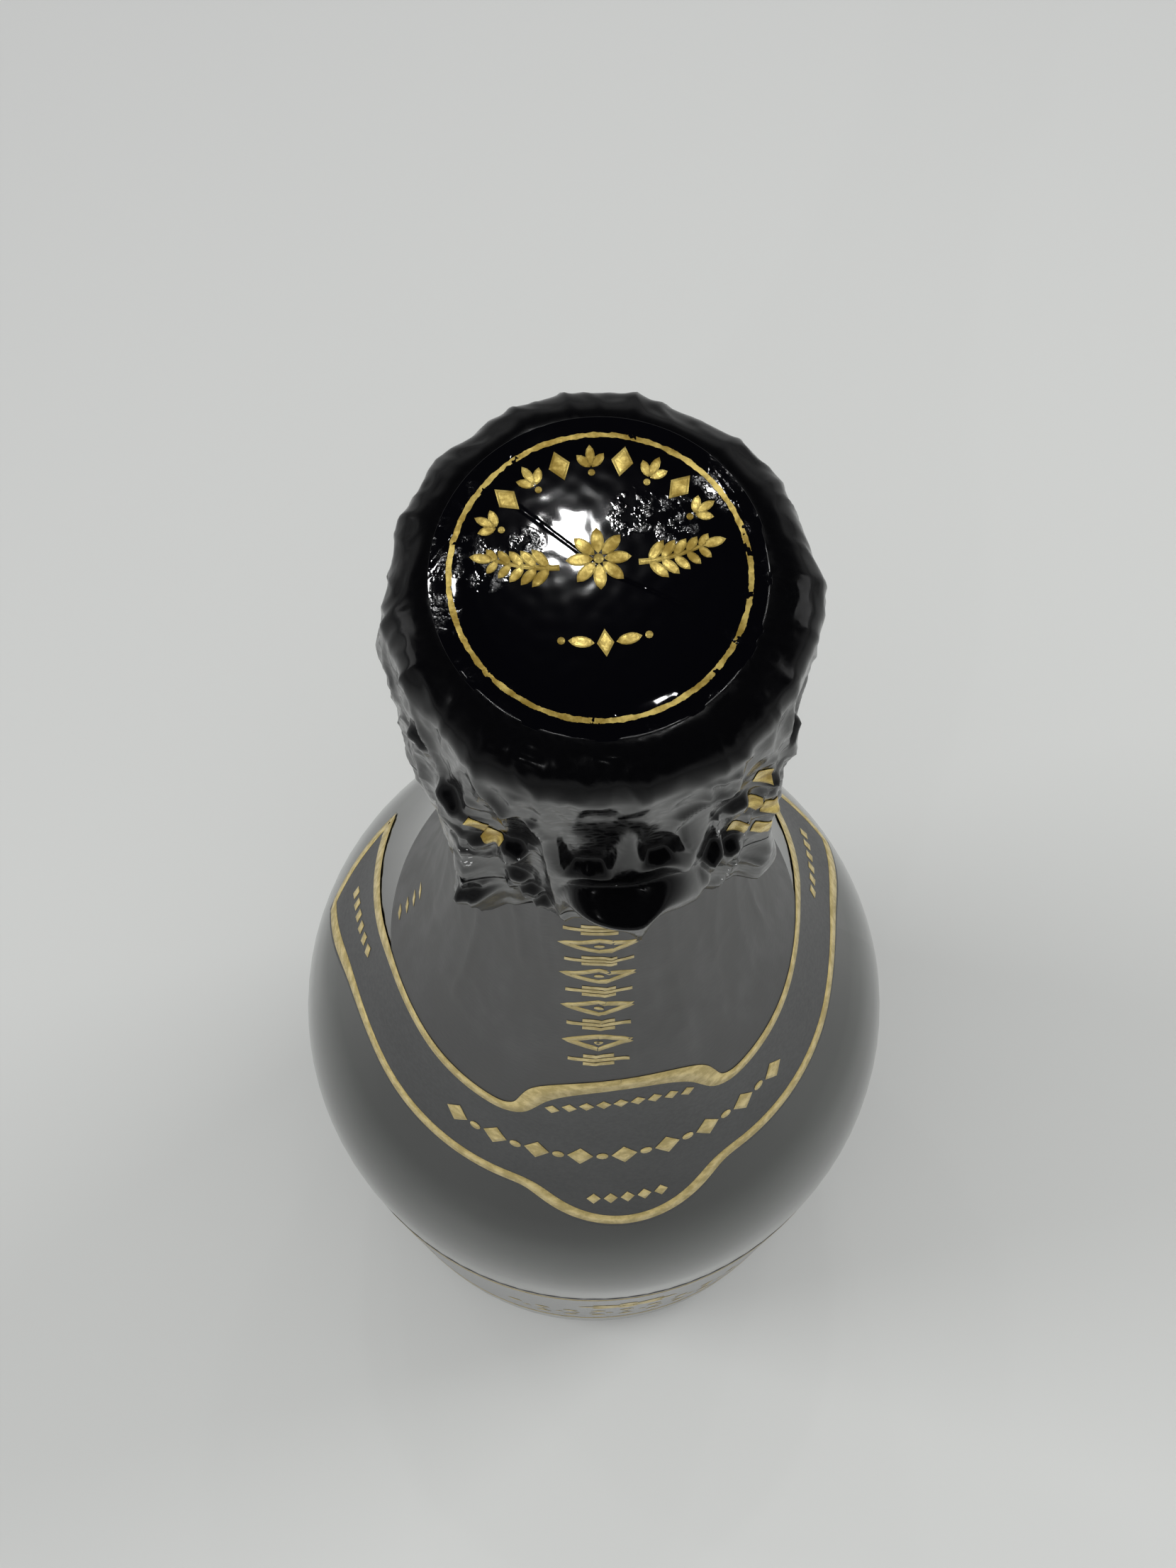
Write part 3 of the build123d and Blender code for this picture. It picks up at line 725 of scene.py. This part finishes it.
def curveAt(table, value):
    # a smooth curve through the rows of a table, by their first column
    for i, (low, high) in enumerate(zip(table, table[1:])):
        if low[0] <= value <= high[0]:
            before, after = table[max(i - 1, 0)], table[min(i + 2, len(table) - 1)]
            span = high[0] - low[0]
            t = (value - low[0]) / span
            points = []
            for a, b, c, d in zip(before[1:], low[1:], high[1:], after[1:]):
                slopeB = (c - a) / max(high[0] - before[0], 1e-6) * span
                slopeC = (d - b) / max(after[0] - low[0], 1e-6) * span
                points.append((2 * t**3 - 3 * t**2 + 1) * b + (t**3 - 2 * t**2 + t) * slopeB
                              + (3 * t**2 - 2 * t**3) * c + (t**3 - t**2) * slopeC)
            return points
    return None


def beakRadius(phi, height, radius):
    place = curveAt(beak, phi)
    if not place:
        return radius
    root, edge, reach, hang = place
    out, under = max(reach - foil["beakWall"], 0), edge - max(hang, 0.3)
    if height > edge:
        return radius + out * smooth(height, root, edge) ** 0.8
    if height > under:
        return radius + out
    return radius + out * smooth(height, under - 6.5, under) ** 0.6


def sideRadius(phi, height):
    head = blendTo(foil["headRadius"], foil["waistRadius"], smooth(height, 311, 297))
    low, high = foil["shelf"]
    for pocketPhi, ledge, wide in foil["pockets"]:
        share = hump(phi - pocketPhi, wide, 4)
        ledge -= 0.06 * (phi - pocketPhi) ** 2 * share
        low, high = blendTo(low, ledge - 0.6, share), blendTo(high, ledge + 0.6, share)
        head += 0.3 * share * smooth(height, 306, ledge + 1.5)
    radius = blendTo(roundTable(foil["belly"], phi), head, smooth(height, low, high))
    tuck = 1 - smooth(height, 272, 281)
    leg = min(foil["legs"], key=lambda place: abs(apart(phi, place)))
    aside = abs(apart(phi, leg)) * 0.30
    width = blendTo(2.5, 1.3, smooth(height, 272, 312))
    ridge = max(tableAt(foil["legReach"], height) - radius, 0) * hump(aside, width, 1.35)
    radius += ridge * (1 - smooth(height, 311, 316.5))
    ribs = 0.34 * max(math.sin(height * 1.34 + (phi - leg) * 0.2), 0) ** 0.8 * hump(aside, 1.7, 2)
    radius += ribs * smooth(height, 287, 292) * (1 - smooth(height, 303, 308))
    radius = beakRadius(phi, height, radius)
    return blendTo(radius, roundTable(foil["rim"], phi), tuck)


def foilPoint(phi, radius, height, lift=0):
    base = turned(phi, radius, height)
    cornerMiddle = foil["headRadius"] - foil["cornerRadius"]
    cornerHeight = foil["topHeight"] - foil["cornerRadius"]
    creases = crumple(base, phi, height) + foldLift(phi, height) * (1 - 0.65 * smooth(height, 310, 316))
    creases -= foil["backPull"] * smooth(abs(phi), 95, 130) * smooth(height, 308, 315)
    creases -= foil["leftPull"] * hump(phi + 85, 28, 4) * smooth(height, 296, 303)
    if abs(phi) < 78:
        creases += stepLift(phi, height)
        onBeak = hump(phi + 3, 14, 6) * smooth(height, 297.5, 295.5) * smooth(height, 279, 284)
        creases *= 1 - onBeak
    if height < cornerHeight:
        out = sideRadius(phi, height) * (1 - cornerSag(phi) * smooth(height, 297, 309))
        return turned(phi, out + creases * blendTo(0.4, 1, smooth(height, 271, 274)) + lift, height)
    # over the corner and on to the flat top, where the creases die away under the printed disc
    flat = smooth(radius, foil["flatRadius"], 16)
    scale = blendTo(1, sideRadius(phi, cornerHeight) / foil["headRadius"], flat) * (1 - cornerSag(phi) * flat)
    out = creases * flat + lift
    outward = Vector((max(radius - cornerMiddle, 0), height - cornerHeight)).normalized()
    fall = 0.25 * cornerSag(phi) * radius * flat
    fall += 0.09 * max(radius - 12.6, 0) * (1 - smooth(radius, 14, 17.1))
    for place, middle, wide, deep, rise in foil["facets"]:
        across, away = math.radians(phi - place) * middle, radius - middle
        share = hump(across, wide, 4) * hump(away, deep, 4)
        fall -= share * (away * rise + away * away * 0.17)
    return turned(phi, radius * scale + outward.x * out, height + outward.y * out * 0.5 - fall)


def finishPiece(bm, name, material, body, replaced=(), wall=0, offset=-1):
    bmesh.ops.scale(bm, vec=(mm, mm, mm), verts=bm.verts)
    mesh = bpy.data.meshes.new(name)
    bm.to_mesh(mesh)
    bm.free()
    mesh.shade_smooth()
    mesh.materials.append(material)
    piece = addObject(name, mesh)
    if wall:
        skin = piece.modifiers.new("wall", "SOLIDIFY")
        skin.thickness, skin.offset = wall * mm, offset
    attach(piece, body)
    if replaced:
        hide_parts(*replaced)


def spunShell(profile, steps):
    bm = bmesh.new()
    line = [bm.verts.new(turned(0, radius, height)) for radius, height in profile]
    edges = [bm.edges.new(pair) for pair in zip(line, line[1:])]
    bmesh.ops.spin(
        bm, geom=line + edges, cent=(0, 0, 0), axis=upward, dvec=(0, 0, 0), angle=math.tau,
        steps=steps, use_merge=True,
    )
    bmesh.ops.remove_doubles(bm, verts=bm.verts, dist=1e-4)
    bmesh.ops.recalc_face_normals(bm, faces=bm.faces)
    return bm


def evenSteps(start, end, step):
    count = max(1, round(abs(end - start) / step))
    return [start + (end - start) * i / count for i in range(count + 1)]


def addWear(bm):
    # bare metal shows where a crest is sharp, and on the lower edge
    layer = bm.verts.layers.float.new("wear")
    for vert in bm.verts:
        if not vert.link_faces:
            continue
        bend = max((vert.normal.angle(face.normal, 0) for face in vert.link_faces), default=0)
        torn = 0
        for phi, height, wide, tall in foil["torn"]:
            torn = max(torn, 1 - math.hypot((phiOf(vert.co) - phi) / wide, (vert.co.z - height) / tall) ** 2)
        vert[layer] = max(smooth(bend, 0.35, 0.8), smooth(torn, 0, 0.3))


def makeHood():
    top, corner, tear, step = (foil[key] for key in ("topHeight", "cornerRadius", "tearHeight", "step"))
    head = foil["headRadius"]
    cap = [(r, top - foil["dip"]) for r in (0, 4, 8, 11, 12.2)]
    cap += [(12.5, top - 0.07), (12.7, top), (12.95, top)]
    arcSteps = round(corner * math.pi / 2 / step)
    for i in range(arcSteps + 1):
        angle = math.pi / 2 * (1 - i / arcSteps)
        cap.append((head - corner + corner * math.cos(angle), top - corner + corner * math.sin(angle)))
    rows = evenSteps(top - corner, 303, step)[1:] + evenSteps(303, 284, foil["fineStep"])[1:]
    side = [(head, z) for z in rows + evenSteps(284, tear, step)[1:]]
    strip = [(head, z) for z in evenSteps(tear - foil["seam"], foil["rimHeight"], step)]
    shells = ("hoodFoil", cap + side, "foil_hood"), ("tearStrip", strip, "foil_tear_strip")
    for name, profile, node in shells:
        bm = spunShell(profile, foil["columns"])
        for vert in bm.verts:
            radius = math.hypot(vert.co.x, vert.co.y)
            if radius > foil["flatRadius"]:
                vert.co = foilPoint(phiOf(vert.co), radius, vert.co.z)
        bm.normal_update()
        addWear(bm)
        finishPiece(bm, name, blackFoil, "hood", [node], foil["thickness"])


print("Bottle: crumpled foil")
makeHood()


# The printed disc on top

disc = {
    "radius": 13, "height": 319.88, "droop": 0.455, "underside": 319.46, "rings": 62, "columns": 300,
    "turn": -3.3,  # the print is turned a little against the labels
    # cracks in the disc: points in x and y, how high, how wide
    "cracks": [
        ([(-8.6, 9.4), (-4.2, 5), (0.4, 0.2), (3.4, -1.6), (6.4, -3.6)], 0.018, 0.06),
        ([(-6, -10), (-7.8, -12.6)], 0.10, 0.22),
        ([(-0.8, -11.2), (-1.2, -13)], 0.10, 0.20),
        ([(5, -10.2), (6.4, -12.4)], 0.08, 0.20),
        ([(9.6, -6.6), (12.2, -8.8)], 0.07, 0.2),
        ([(11.6, -1.4), (13, -2)], 0.08, 0.2),
        ([(-11.6, -3.2), (-9.4, -6.8), (-7, -9)], 0.05, 0.25),
        ([(-12.6, 2.8), (-10.6, 4.8), (-9.2, 8.6)], 0.07, 0.22),
        ([(9, 8.8), (11, 5.4), (12, 1)], 0.06, 0.22),
        ([(-4.6, 12.2), (-5.6, 10.2), (-4.4, 8.4)], 0.06, 0.18),
        ([(2.6, 12.8), (3.4, 10.8)], 0.06, 0.16),
    ],
}


def discHeight(x, y):
    radius = math.hypot(x, y)
    place = Vector((x, y, 0))
    height = disc["height"] - disc["droop"] * smooth(radius, 9.5, 14.4)
    height += 0.006 * ripple(place, 7, 2, 5, 1) + 0.0036 * ripple(place, 1.15, 7, 3, 4)
    for points, reach, width in disc["cracks"]:
        for start, end in zip(points, points[1:]):
            away = toLine(x, y, start, end)
            if away < 4 * width:
                height += reach * hump(away, width, 1)
    return height


def makeDisc():
    edge, low = disc["radius"], disc["underside"]
    # a close last ring keeps the turn of the edge under the cap
    rings = [edge * i / disc["rings"] for i in range(disc["rings"])] + [edge - 0.03, edge]
    under = [(radius, low) for radius in (edge - 0.05, edge / 2, 0)]
    bm = spunShell([(ring, disc["height"]) for ring in rings] + under, disc["columns"])
    for vert in bm.verts:
        if vert.co.z > low + 0.05:
            vert.co.z = discHeight(vert.co.x, vert.co.y)
    finishPiece(bm, "printedDisc", discFoil, "hood", ["foil_disc"])


makeDisc()


# Foil down the neck

neckFoil = {
    "bottom": 183, "flareStart": 263, "top": 270.75, "thickness": 0.06, "columns": 260, "step": 0.9,
    "lift": 0.12, "pressed": 0.015,  # off the glass: loose on the neck, and under the collar
}


def makePleats(count, seed):
    chance = random.Random(seed)
    pleats = []
    for i in range(count):
        start = chance.uniform(183, 235)
        pleats.append((
            -180 + 360 * (i + chance.uniform(0.1, 0.9)) / count, chance.uniform(-0.05, 0.05), start,
            start + chance.uniform(25, 85), chance.uniform(0.16, 0.42), chance.uniform(0.35, 0.8),
        ))
    return pleats


pleats = makePleats(22, 11)


def neckRadius(phi, height):
    # pressed flat where the collar is pasted over it
    loose = smooth(height, 199, 210)
    glass = glassRadius(height)
    point = turned(phi, glass, height)
    place = Vector((point.x / 3.2, point.y / 3.2, height / 12))
    radius = neckFoil["lift"] + 0.07 * crest(noise.noise(place), 0.4)
    for pleatPhi, lean, low, high, reach, width in pleats:
        if low < height < high:
            aside = abs(apart(phi - pleatPhi, lean * (height - low) * 3) * 0.0175 * glass)
            if aside < 4 * width:
                ends = smooth(height, low, low + 9) * smooth(height, high, high - 9)
                radius += reach * ends * hump(aside, width, 1)
    radius = glass + blendTo(neckFoil["pressed"], radius, loose)
    rim = roundTable(foil["rim"], phi) + 0.05
    return blendTo(radius, rim, smooth(height, neckFoil["flareStart"], neckFoil["top"] + 1.5))


def neckPoint(phi, height, lift=0):
    return turned(phi, neckRadius(phi, height) + lift, height)


def makeNeckFoil():
    rows = evenSteps(neckFoil["top"], neckFoil["bottom"], neckFoil["step"])
    bm = spunShell([(glassRadius(z), z) for z in rows], neckFoil["columns"])
    for vert in bm.verts:
        vert.co = neckPoint(phiOf(vert.co), vert.co.z)
    node = "foil_neck_skirt"
    finishPiece(bm, "neckFoil", satinFoil, "bottle", [node], neckFoil["thickness"], 1)


makeNeckFoil()


# Prints and borders: flat shapes and ribbons laid on to a surface

printLift = 0.03


def layShape(bm, kind, middle, right, up, size, onto, detail=3, lift=printLift):
    # kind is lozenge, bar, leaf or dot; right and up span the surface at middle
    wide, tall = size
    if kind == "dot":
        made = bmesh.ops.create_circle(bm, cap_ends=True, radius=1, segments=10)["verts"]
    else:
        made = bmesh.ops.create_grid(bm, x_segments=detail, y_segments=detail, size=1)["verts"]
    for vert in made:
        u, v = vert.co.x, vert.co.y
        if kind == "lozenge":
            u, v = (u - v) / 2, (u + v) / 2
        elif kind == "leaf":
            u *= (1 - v * v) ** 0.75
        vert.co = onto(middle + right * (u * wide / 2) + up * (v * tall / 2), lift)


def layRibbon(bm, path, halfWidths, onto):
    row, edges = [], []
    for i, point in enumerate(path):
        ahead = (path[min(i + 1, len(path) - 1)] - path[max(i - 1, 0)]).normalized()
        outward = (onto(point, 1) - onto(point, 0)).normalized()
        aside = ahead.cross(outward).normalized()
        places = [onto(point + aside * halfWidths[i] * side, printLift) for side in (-1, 0, 1)]
        if not row:
            row = [bm.verts.new(place) for place in places]
            edges = [bm.edges.new(pair) for pair in zip(row, row[1:])]
            continue
        made = bmesh.ops.extrude_edge_only(bm, edges=edges)["geom"]
        fresh = [item for item in made if isinstance(item, bmesh.types.BMVert)]
        row = [min(fresh, key=lambda vert: (vert.co - old.co).length_squared) for old in row]
        edges = [bm.edges.get(pair) for pair in zip(row, row[1:])]
        for vert, place in zip(row, places):
            vert.co = place


def onGlass(phi, height):
    return turned(phi, glassRadius(height), height)


def glassPoint(phi, height, lift=0):
    slope = (glassRadius(height + 0.1) - glassRadius(height - 0.1)) / 0.2
    across, up = Vector((1, -slope)).normalized()
    return turned(phi, glassRadius(height) + across * lift, height + up * lift)


def ontoPaper(outerFace):
    # laid on a paper whose outer face stands this far off the glass
    return lambda point, lift: glassPoint(phiOf(point), point.z, outerFace + lift)


ontoCollar, ontoBody = ontoPaper(0.13), ontoPaper(0.08)


def ontoNeck(point, lift):
    return neckPoint(phiOf(point), point.z, lift + neckFoil["thickness"])


def ontoHood(point, lift):
    return foilPoint(phiOf(point), foil["headRadius"], point.z, lift)


def ontoDisc(point, lift):
    return Vector((point.x, point.y, discHeight(point.x, point.y) + lift))


def sideways(phi):
    # level direction round the bottle, toward growing phi
    angle = math.radians(phi)
    return Vector((math.cos(angle), math.sin(angle), 0))


def tilted(right, up, degrees):
    turn = math.radians(degrees)
    return right * math.cos(turn) + up * math.sin(turn), up * math.cos(turn) - right * math.sin(turn)


def layUpright(bm, kind, point, size, onto, detail=3):
    layShape(bm, kind, point, sideways(phiOf(point)), upward, size, onto, detail)


def finishPrint(bm, name, material, body, thickness=0.03):
    bmesh.ops.remove_doubles(bm, verts=bm.verts, dist=1e-3)
    finishPiece(bm, name, material, body, wall=thickness, offset=1)


def layFleuron(bm, middle, right, up, size, onto):
    # three leaves spreading from a dot
    for turn, tall in ((0, size), (42, size * 0.8), (-42, size * 0.8)):
        side, ahead = tilted(right, up, turn)
        layShape(bm, "leaf", middle + ahead * tall * 0.5, side, ahead, (size * 0.34, tall * 0.86), onto, 5)
    layShape(bm, "dot", middle - up * size * 0.16, right, up, (size * 0.26, size * 0.26), onto)


def laySprig(bm, start, right, up, length, rise, onto, mirror):
    # a bending stem with leaves in pairs and one at its tip
    def along(share):
        return start + right * (mirror * length * share) + up * (rise * share * share)

    shares = [i / 24 for i in range(25)]
    stem = [onto(along(share), 0) for share in shares]
    layRibbon(bm, stem, [0.14 + 0.10 * (1 - share) for share in shares], onto)
    for i in range(5):
        for lean in (52, -46):
            side, ahead = tilted(right, up, mirror * (lean - 90) if mirror > 0 else 90 - lean)
            tall = 2 - 0.18 * i
            foot = along((i + 0.8) / 5.2) + ahead * tall * 0.5
            layShape(bm, "leaf", foot, side, ahead, (0.85 - 0.05 * i, tall), onto, 5)
    side, ahead = tilted(right, up, -mirror * 78)
    tip = start + right * (mirror * (length + 0.8)) + up * (rise * 1.15)
    layShape(bm, "leaf", tip, side, ahead, (0.8, 1.9), onto, 5)


def makeDiscOrnament():
    bm = bmesh.new()
    right, up = tilted(Vector((1, 0, 0)), Vector((0, 1, 0)), disc["turn"])
    for i in range(9):
        side, ahead = tilted(right, up, 60 - 15 * i)
        place = ahead * 9.3
        if i % 2:
            layShape(bm, "lozenge", place, side, ahead, (1.7, 2.5), ontoDisc, 6)
        else:
            layFleuron(bm, place - ahead * 0.7, side, ahead, 2.1, ontoDisc)
    middle = up * 1.3
    for i in range(8):
        side, ahead = tilted(right, up, 45 * i)
        layShape(bm, "leaf", middle + ahead * 1.45, side, ahead, (1, 2.1), ontoDisc, 6)
    layShape(bm, "dot", middle, right, up, (0.8, 0.8), ontoDisc)
    for mirror in (1, -1):
        laySprig(bm, middle + right * (mirror * 3) - up * 0.5, right, up, 5, 1, ontoDisc, mirror)
    low = -5.4 * up
    layShape(bm, "lozenge", low, right, up, (1.3, 2.2), ontoDisc, 6)
    for mirror in (1, -1):
        side, ahead = tilted(right, up, -mirror * 80)
        layShape(bm, "leaf", low + right * mirror * 1.8 + up * 0.2, side, ahead, (0.9, 2), ontoDisc, 6)
        layShape(bm, "dot", low + right * mirror * 3.3 + up * 0.4, right, up, (0.6, 0.6), ontoDisc)
    finishPrint(bm, "discOrnament", goldPrint, "hood", 0.02)


makeDiscOrnament()

hoodPrint = {
    # gold lozenges printed where the foil is drawn over the legs of the cage: phi, height
    "lozenges": [(42, 303.5), (38, 298.5), (35, 292.5), (45, 293.5), (43, 288), (-42.5, 300), (-38.5, 297)],
    "backLegs": (135, -135), "byLeg": [(0, 297), (-6, 292), (6, 292), (0, 287), (7, 284.5)],
    "size": (1.9, 4.4), "lean": 12,
}


def makeHoodPrint():
    bm = bmesh.new()
    spots = list(hoodPrint["lozenges"])
    for leg in hoodPrint["backLegs"]:
        spots += [(leg + phi, height) for phi, height in hoodPrint["byLeg"]]
    for phi, height in spots:
        middle = turned(phi, foil["headRadius"], height)
        side, ahead = tilted(sideways(phi), upward, hoodPrint["lean"])
        layShape(bm, "lozenge", middle, side, ahead, hoodPrint["size"], ontoHood, 9, 0.05)
    finishPrint(bm, "hoodLozenges", goldPrint, "hood", 0.02)


makeHoodPrint()

neckPrint = {
    "phi": -6.7, "bottom": 207.5, "top": 258, "count": 9, "wide": 7.4, "high": 4.6, "stroke": 1.3,
    "side": (-101, 188, 4.6, 4),  # row of lozenges at the side: phi, lowest height, pitch, count
}


def makeNeckPrint():
    # a column of stepped bars and hollow lozenges
    bm = bmesh.new()
    low, wide, stroke = neckPrint["bottom"], neckPrint["wide"], neckPrint["stroke"]
    right = sideways(neckPrint["phi"])
    pitch = (neckPrint["top"] - low) / (neckPrint["count"] - 1)
    for i in range(neckPrint["count"]):
        middle = onGlass(neckPrint["phi"], low + pitch * i)
        if i % 2:
            across, above = right * wide / 2, upward * neckPrint["high"] / 2
            corners = [across, above, -across, -above]
            path = []
            for first, second in zip(corners, corners[1:] + corners[:1]):
                path += [middle + first.lerp(second, step / 8) for step in range(8)]
            path = [ontoNeck(point, 0) for point in path + path[:1]]
            layRibbon(bm, path, [stroke / 2] * len(path), ontoNeck)
            layShape(bm, "dot", middle, right, upward, (1.1, 1.1), ontoNeck)
        else:
            for shift, share in ((1.35, 0.5), (0, 1), (-1.35, 0.5)):
                size = (wide * share, stroke * 0.8)
                layShape(bm, "bar", middle + upward * shift, right, upward, size, ontoNeck, 12)
    phi, low, pitch, count = neckPrint["side"]
    for i in range(count):
        layUpright(bm, "lozenge", onGlass(phi, low + pitch * i), (2.2, 1.9), ontoNeck)
    finishPrint(bm, "neckPrint", goldInk, "bottle")


makeNeckPrint()


# Collar label: a gold border and rows of small lozenges

collar = {
    "top": 186.5, "bottom": 165.5, "archTop": 199.5, "archStep": (11.5, 192.5), "cusp": 14,
    "bulgeStep": (11, 162), "bulgeBottom": 157.2, "frontDepth": 2, "endDepth": 26, "bend": 20,
    "inset": 1.35, "line": 1.15, "archLine": 1.7,
    "sizes": {
        "arch": (1.9, 2.3), "middle": (3.4, 4.5), "dot": (1.6, 1.6), "low": (1.9, 2.7), "band": (2, 2.9),
    },
}


def frontPoint(x, height):
    radius = glassRadius(height)
    return turned(math.degrees(math.asin(max(-1, min(1, x / radius)))), radius, height)


def bandEdge(level, end):
    # from the cusp round to the back: level, then a bend into a 45 degree fall
    points = []
    reach = collar["bend"] * math.tan(math.radians(22.5))
    start = -math.sqrt(glassRadius(level) ** 2 - collar["cusp"] ** 2)
    count = 70
    for i in range(count + 1):
        depth = start + (end - start) * i / count
        ahead = depth + collar["frontDepth"]
        if ahead < -reach:
            height = level
        elif ahead < reach * math.sqrt(0.5):
            height = level - collar["bend"] + math.sqrt(collar["bend"] ** 2 - (ahead + reach) ** 2)
        else:
            height = level - ahead
        radius = glassRadius(height)
        phi = math.degrees(math.acos(max(-1, min(1, -depth / radius))))
        points.append(turned(phi, radius, height))
    return points


def arcPoints(step, middleHeight):
    # half of an arch or bulge, from its middle to its step
    half, edgeHeight = step
    rise = middleHeight - edgeHeight
    radius = (half * half + rise * rise) / (2 * rise)
    points = []
    for i in range(15):
        x = half * i / 14
        drop = math.copysign(math.sqrt(radius * radius - x * x), radius) - radius
        points.append(frontPoint(x, middleHeight + drop))
    return points


def evenPath(points, step):
    # the same line with evenly spaced points
    spaced, left = [points[0]], step
    for first, second in zip(points, points[1:]):
        length = (second - first).length
        while length > 1e-9 and left <= length:
            first = first.lerp(second, left / length)
            length = (second - first).length
            spaced.append(first)
            left = step
        left -= length
    return spaced


def collarHalf():
    square = (collar["top"] - collar["bottom"]) / 2
    top = bandEdge(collar["top"], collar["endDepth"])
    bottom = bandEdge(collar["bottom"], collar["endDepth"] - square)
    path = arcPoints(collar["archStep"], collar["archTop"]) + top
    path += [top[-1].lerp(bottom[-1], share) for share in (0.25, 0.5, 0.75)]
    return path + bottom[::-1] + arcPoints(collar["bulgeStep"], collar["bulgeBottom"])[::-1]


def insetPath(path, inset, onto):
    moved = []
    count = len(path)
    for i, point in enumerate(path):
        ahead = (path[(i + 1) % count] - path[i - 1]).normalized()
        outward = (onto(point, 1) - onto(point, 0)).normalized()
        moved.append(onto(point + outward.cross(ahead) * inset, 0))
    for smoothing in range(6):
        moved = [onto((moved[j - 1] + moved[j] * 2 + moved[(j + 1) % count]) / 4, 0) for j in range(count)]
    return moved


def makeCollarGold():
    bm = bmesh.new()
    half = collarHalf()
    mirrored = [Vector((-p.x, p.y, p.z)) for p in half[::-1]]
    loop = evenPath(half + mirrored[1:-1] + half[:1], 0.6)
    border = insetPath(loop, -collar["inset"], ontoCollar)
    widths = []
    for point in border:
        arch = smooth(point.z, 186, 190) * smooth(abs(point.x), 13, 9) if point.y < 0 else 0
        widths.append(blendTo(collar["line"], collar["archLine"], arch))
    layRibbon(bm, border + border[:1], widths + widths[:1], ontoCollar)
    sizes = collar["sizes"]
    for i in range(9):
        x = -8.6 + 2.15 * i
        layUpright(bm, "lozenge", frontPoint(x, 192.6 - 5.2 * (x / 11.5) ** 2), sizes["arch"], ontoCollar)
        phi = -46 + 11.5 * i
        height = 177 - 1.2 * (phi / 46) ** 2
        layUpright(bm, "lozenge", onGlass(phi, height), sizes["middle"], ontoCollar, 4)
        if i < 8:
            layUpright(bm, "dot", onGlass(phi + 5.75, height), sizes["dot"], ontoCollar)
    for i in range(5):
        layUpright(bm, "lozenge", frontPoint(-4.6 + 2.3 * i, 165), sizes["low"], ontoCollar)
    band = evenPath(bandEdge((collar["top"] + collar["bottom"]) / 2 + 1, 18), 3)
    for point in band[12:-1]:
        for side in (1, -1):
            place = Vector((side * point.x, point.y, point.z))
            layUpright(bm, "lozenge", place, sizes["band"], ontoCollar)
    finishPrint(bm, "collarGold", goldInk, "bottle")


makeCollarGold()


def makePaper(name, node, share, paper):
    # the label's own outline, drawn in towards the glass to the thickness of paper
    bm = bmesh.new()
    bm.from_mesh(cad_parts[node].data)
    bmesh.ops.scale(bm, vec=(1 / mm, 1 / mm, 1 / mm), verts=bm.verts)
    bmesh.ops.remove_doubles(bm, verts=bm.verts, dist=1e-3)
    for vert in bm.verts:
        reach = math.hypot(vert.co.x, vert.co.y)
        glass = glassRadius(vert.co.z)
        stretch = (glass + (reach - glass) * share) / reach
        vert.co.x *= stretch
        vert.co.y *= stretch
    for edge in bm.edges:
        edge.smooth = edge.calc_face_angle(0) < 0.6
    finishPiece(bm, name, paper, "bottle", [node])


makePaper("collarPaper", "collar_label", 0.29, collarPaper)
makePaper("frontPaper", "front_label", 0.4, bodyPaper)
makePaper("backPaper", "back_label", 0.4, bodyPaper)


# Body labels: a double gold border and a plain ornament

bodyLabels = {
    "front": {"turn": 0, "wide": 76, "bottom": 27, "top": 109},
    "back": {"turn": 180, "wide": 58, "bottom": 35, "top": 97},
    "corner": 3,
    "borders": ((2.4, 0.5), (4.2, 0.2)),  # inset, half width
    "rows": (((2.6, 3.6), 5, 9), ((1.4, 1.4), 3, 13), ((2.6, 3.6), 5, 7)),  # size, pitch, count
}


def labelLoop(label, inset):
    half, corner = label["wide"] / 2 - inset, max(bodyLabels["corner"] - inset, 0.8)
    low, high = label["bottom"] + inset, label["top"] - inset
    flat = []
    for middleX, middleZ, start in (
        (half - corner, high - corner, 90), (half - corner, low + corner, 0),
        (corner - half, low + corner, -90), (corner - half, high - corner, -180),
    ):
        for i in range(7):
            angle = math.radians(start - 15 * i)
            flat.append((middleX + corner * math.cos(angle), middleZ + corner * math.sin(angle)))
    flat.append(flat[0])
    points = []
    for (ax, az), (bx, bz) in zip(flat, flat[1:]):
        steps = max(1, round(math.hypot(bx - ax, bz - az) / 1.2))
        points += [(ax + (bx - ax) * i / steps, az + (bz - az) * i / steps) for i in range(steps)]
    radius = bottle["bodyRadius"]
    place = [turned(math.degrees(math.asin(x / radius)) + label["turn"], radius, z) for x, z in points]
    return place + place[:1]


def makeLabelGold(name, label):
    bm = bmesh.new()
    for inset, half in bodyLabels["borders"]:
        path = labelLoop(label, inset)
        layRibbon(bm, path, [half] * len(path), ontoBody)
    turn = label["turn"]
    middleHeight = (label["top"] + label["bottom"]) / 2
    middle = onGlass(turn, middleHeight + 12)
    for i in range(8):
        side, ahead = tilted(sideways(turn), upward, 45 * i)
        layShape(bm, "leaf", middle + ahead * 5, side, ahead, (3.2, 7.2), ontoBody, 8)
    layUpright(bm, "dot", middle, (2.6, 2.6), ontoBody)
    for row, (size, pitch, count) in enumerate(bodyLabels["rows"]):
        for i in range(count):
            phi = turn + math.degrees((i - (count - 1) / 2) * pitch / bottle["bodyRadius"])
            layUpright(bm, "lozenge", onGlass(phi, middleHeight - 6 - 8 * row), size, ontoBody, 4)
    finishPrint(bm, name, goldInk, "bottle")


makeLabelGold("frontLabelGold", bodyLabels["front"])
makeLabelGold("backLabelGold", bodyLabels["back"])
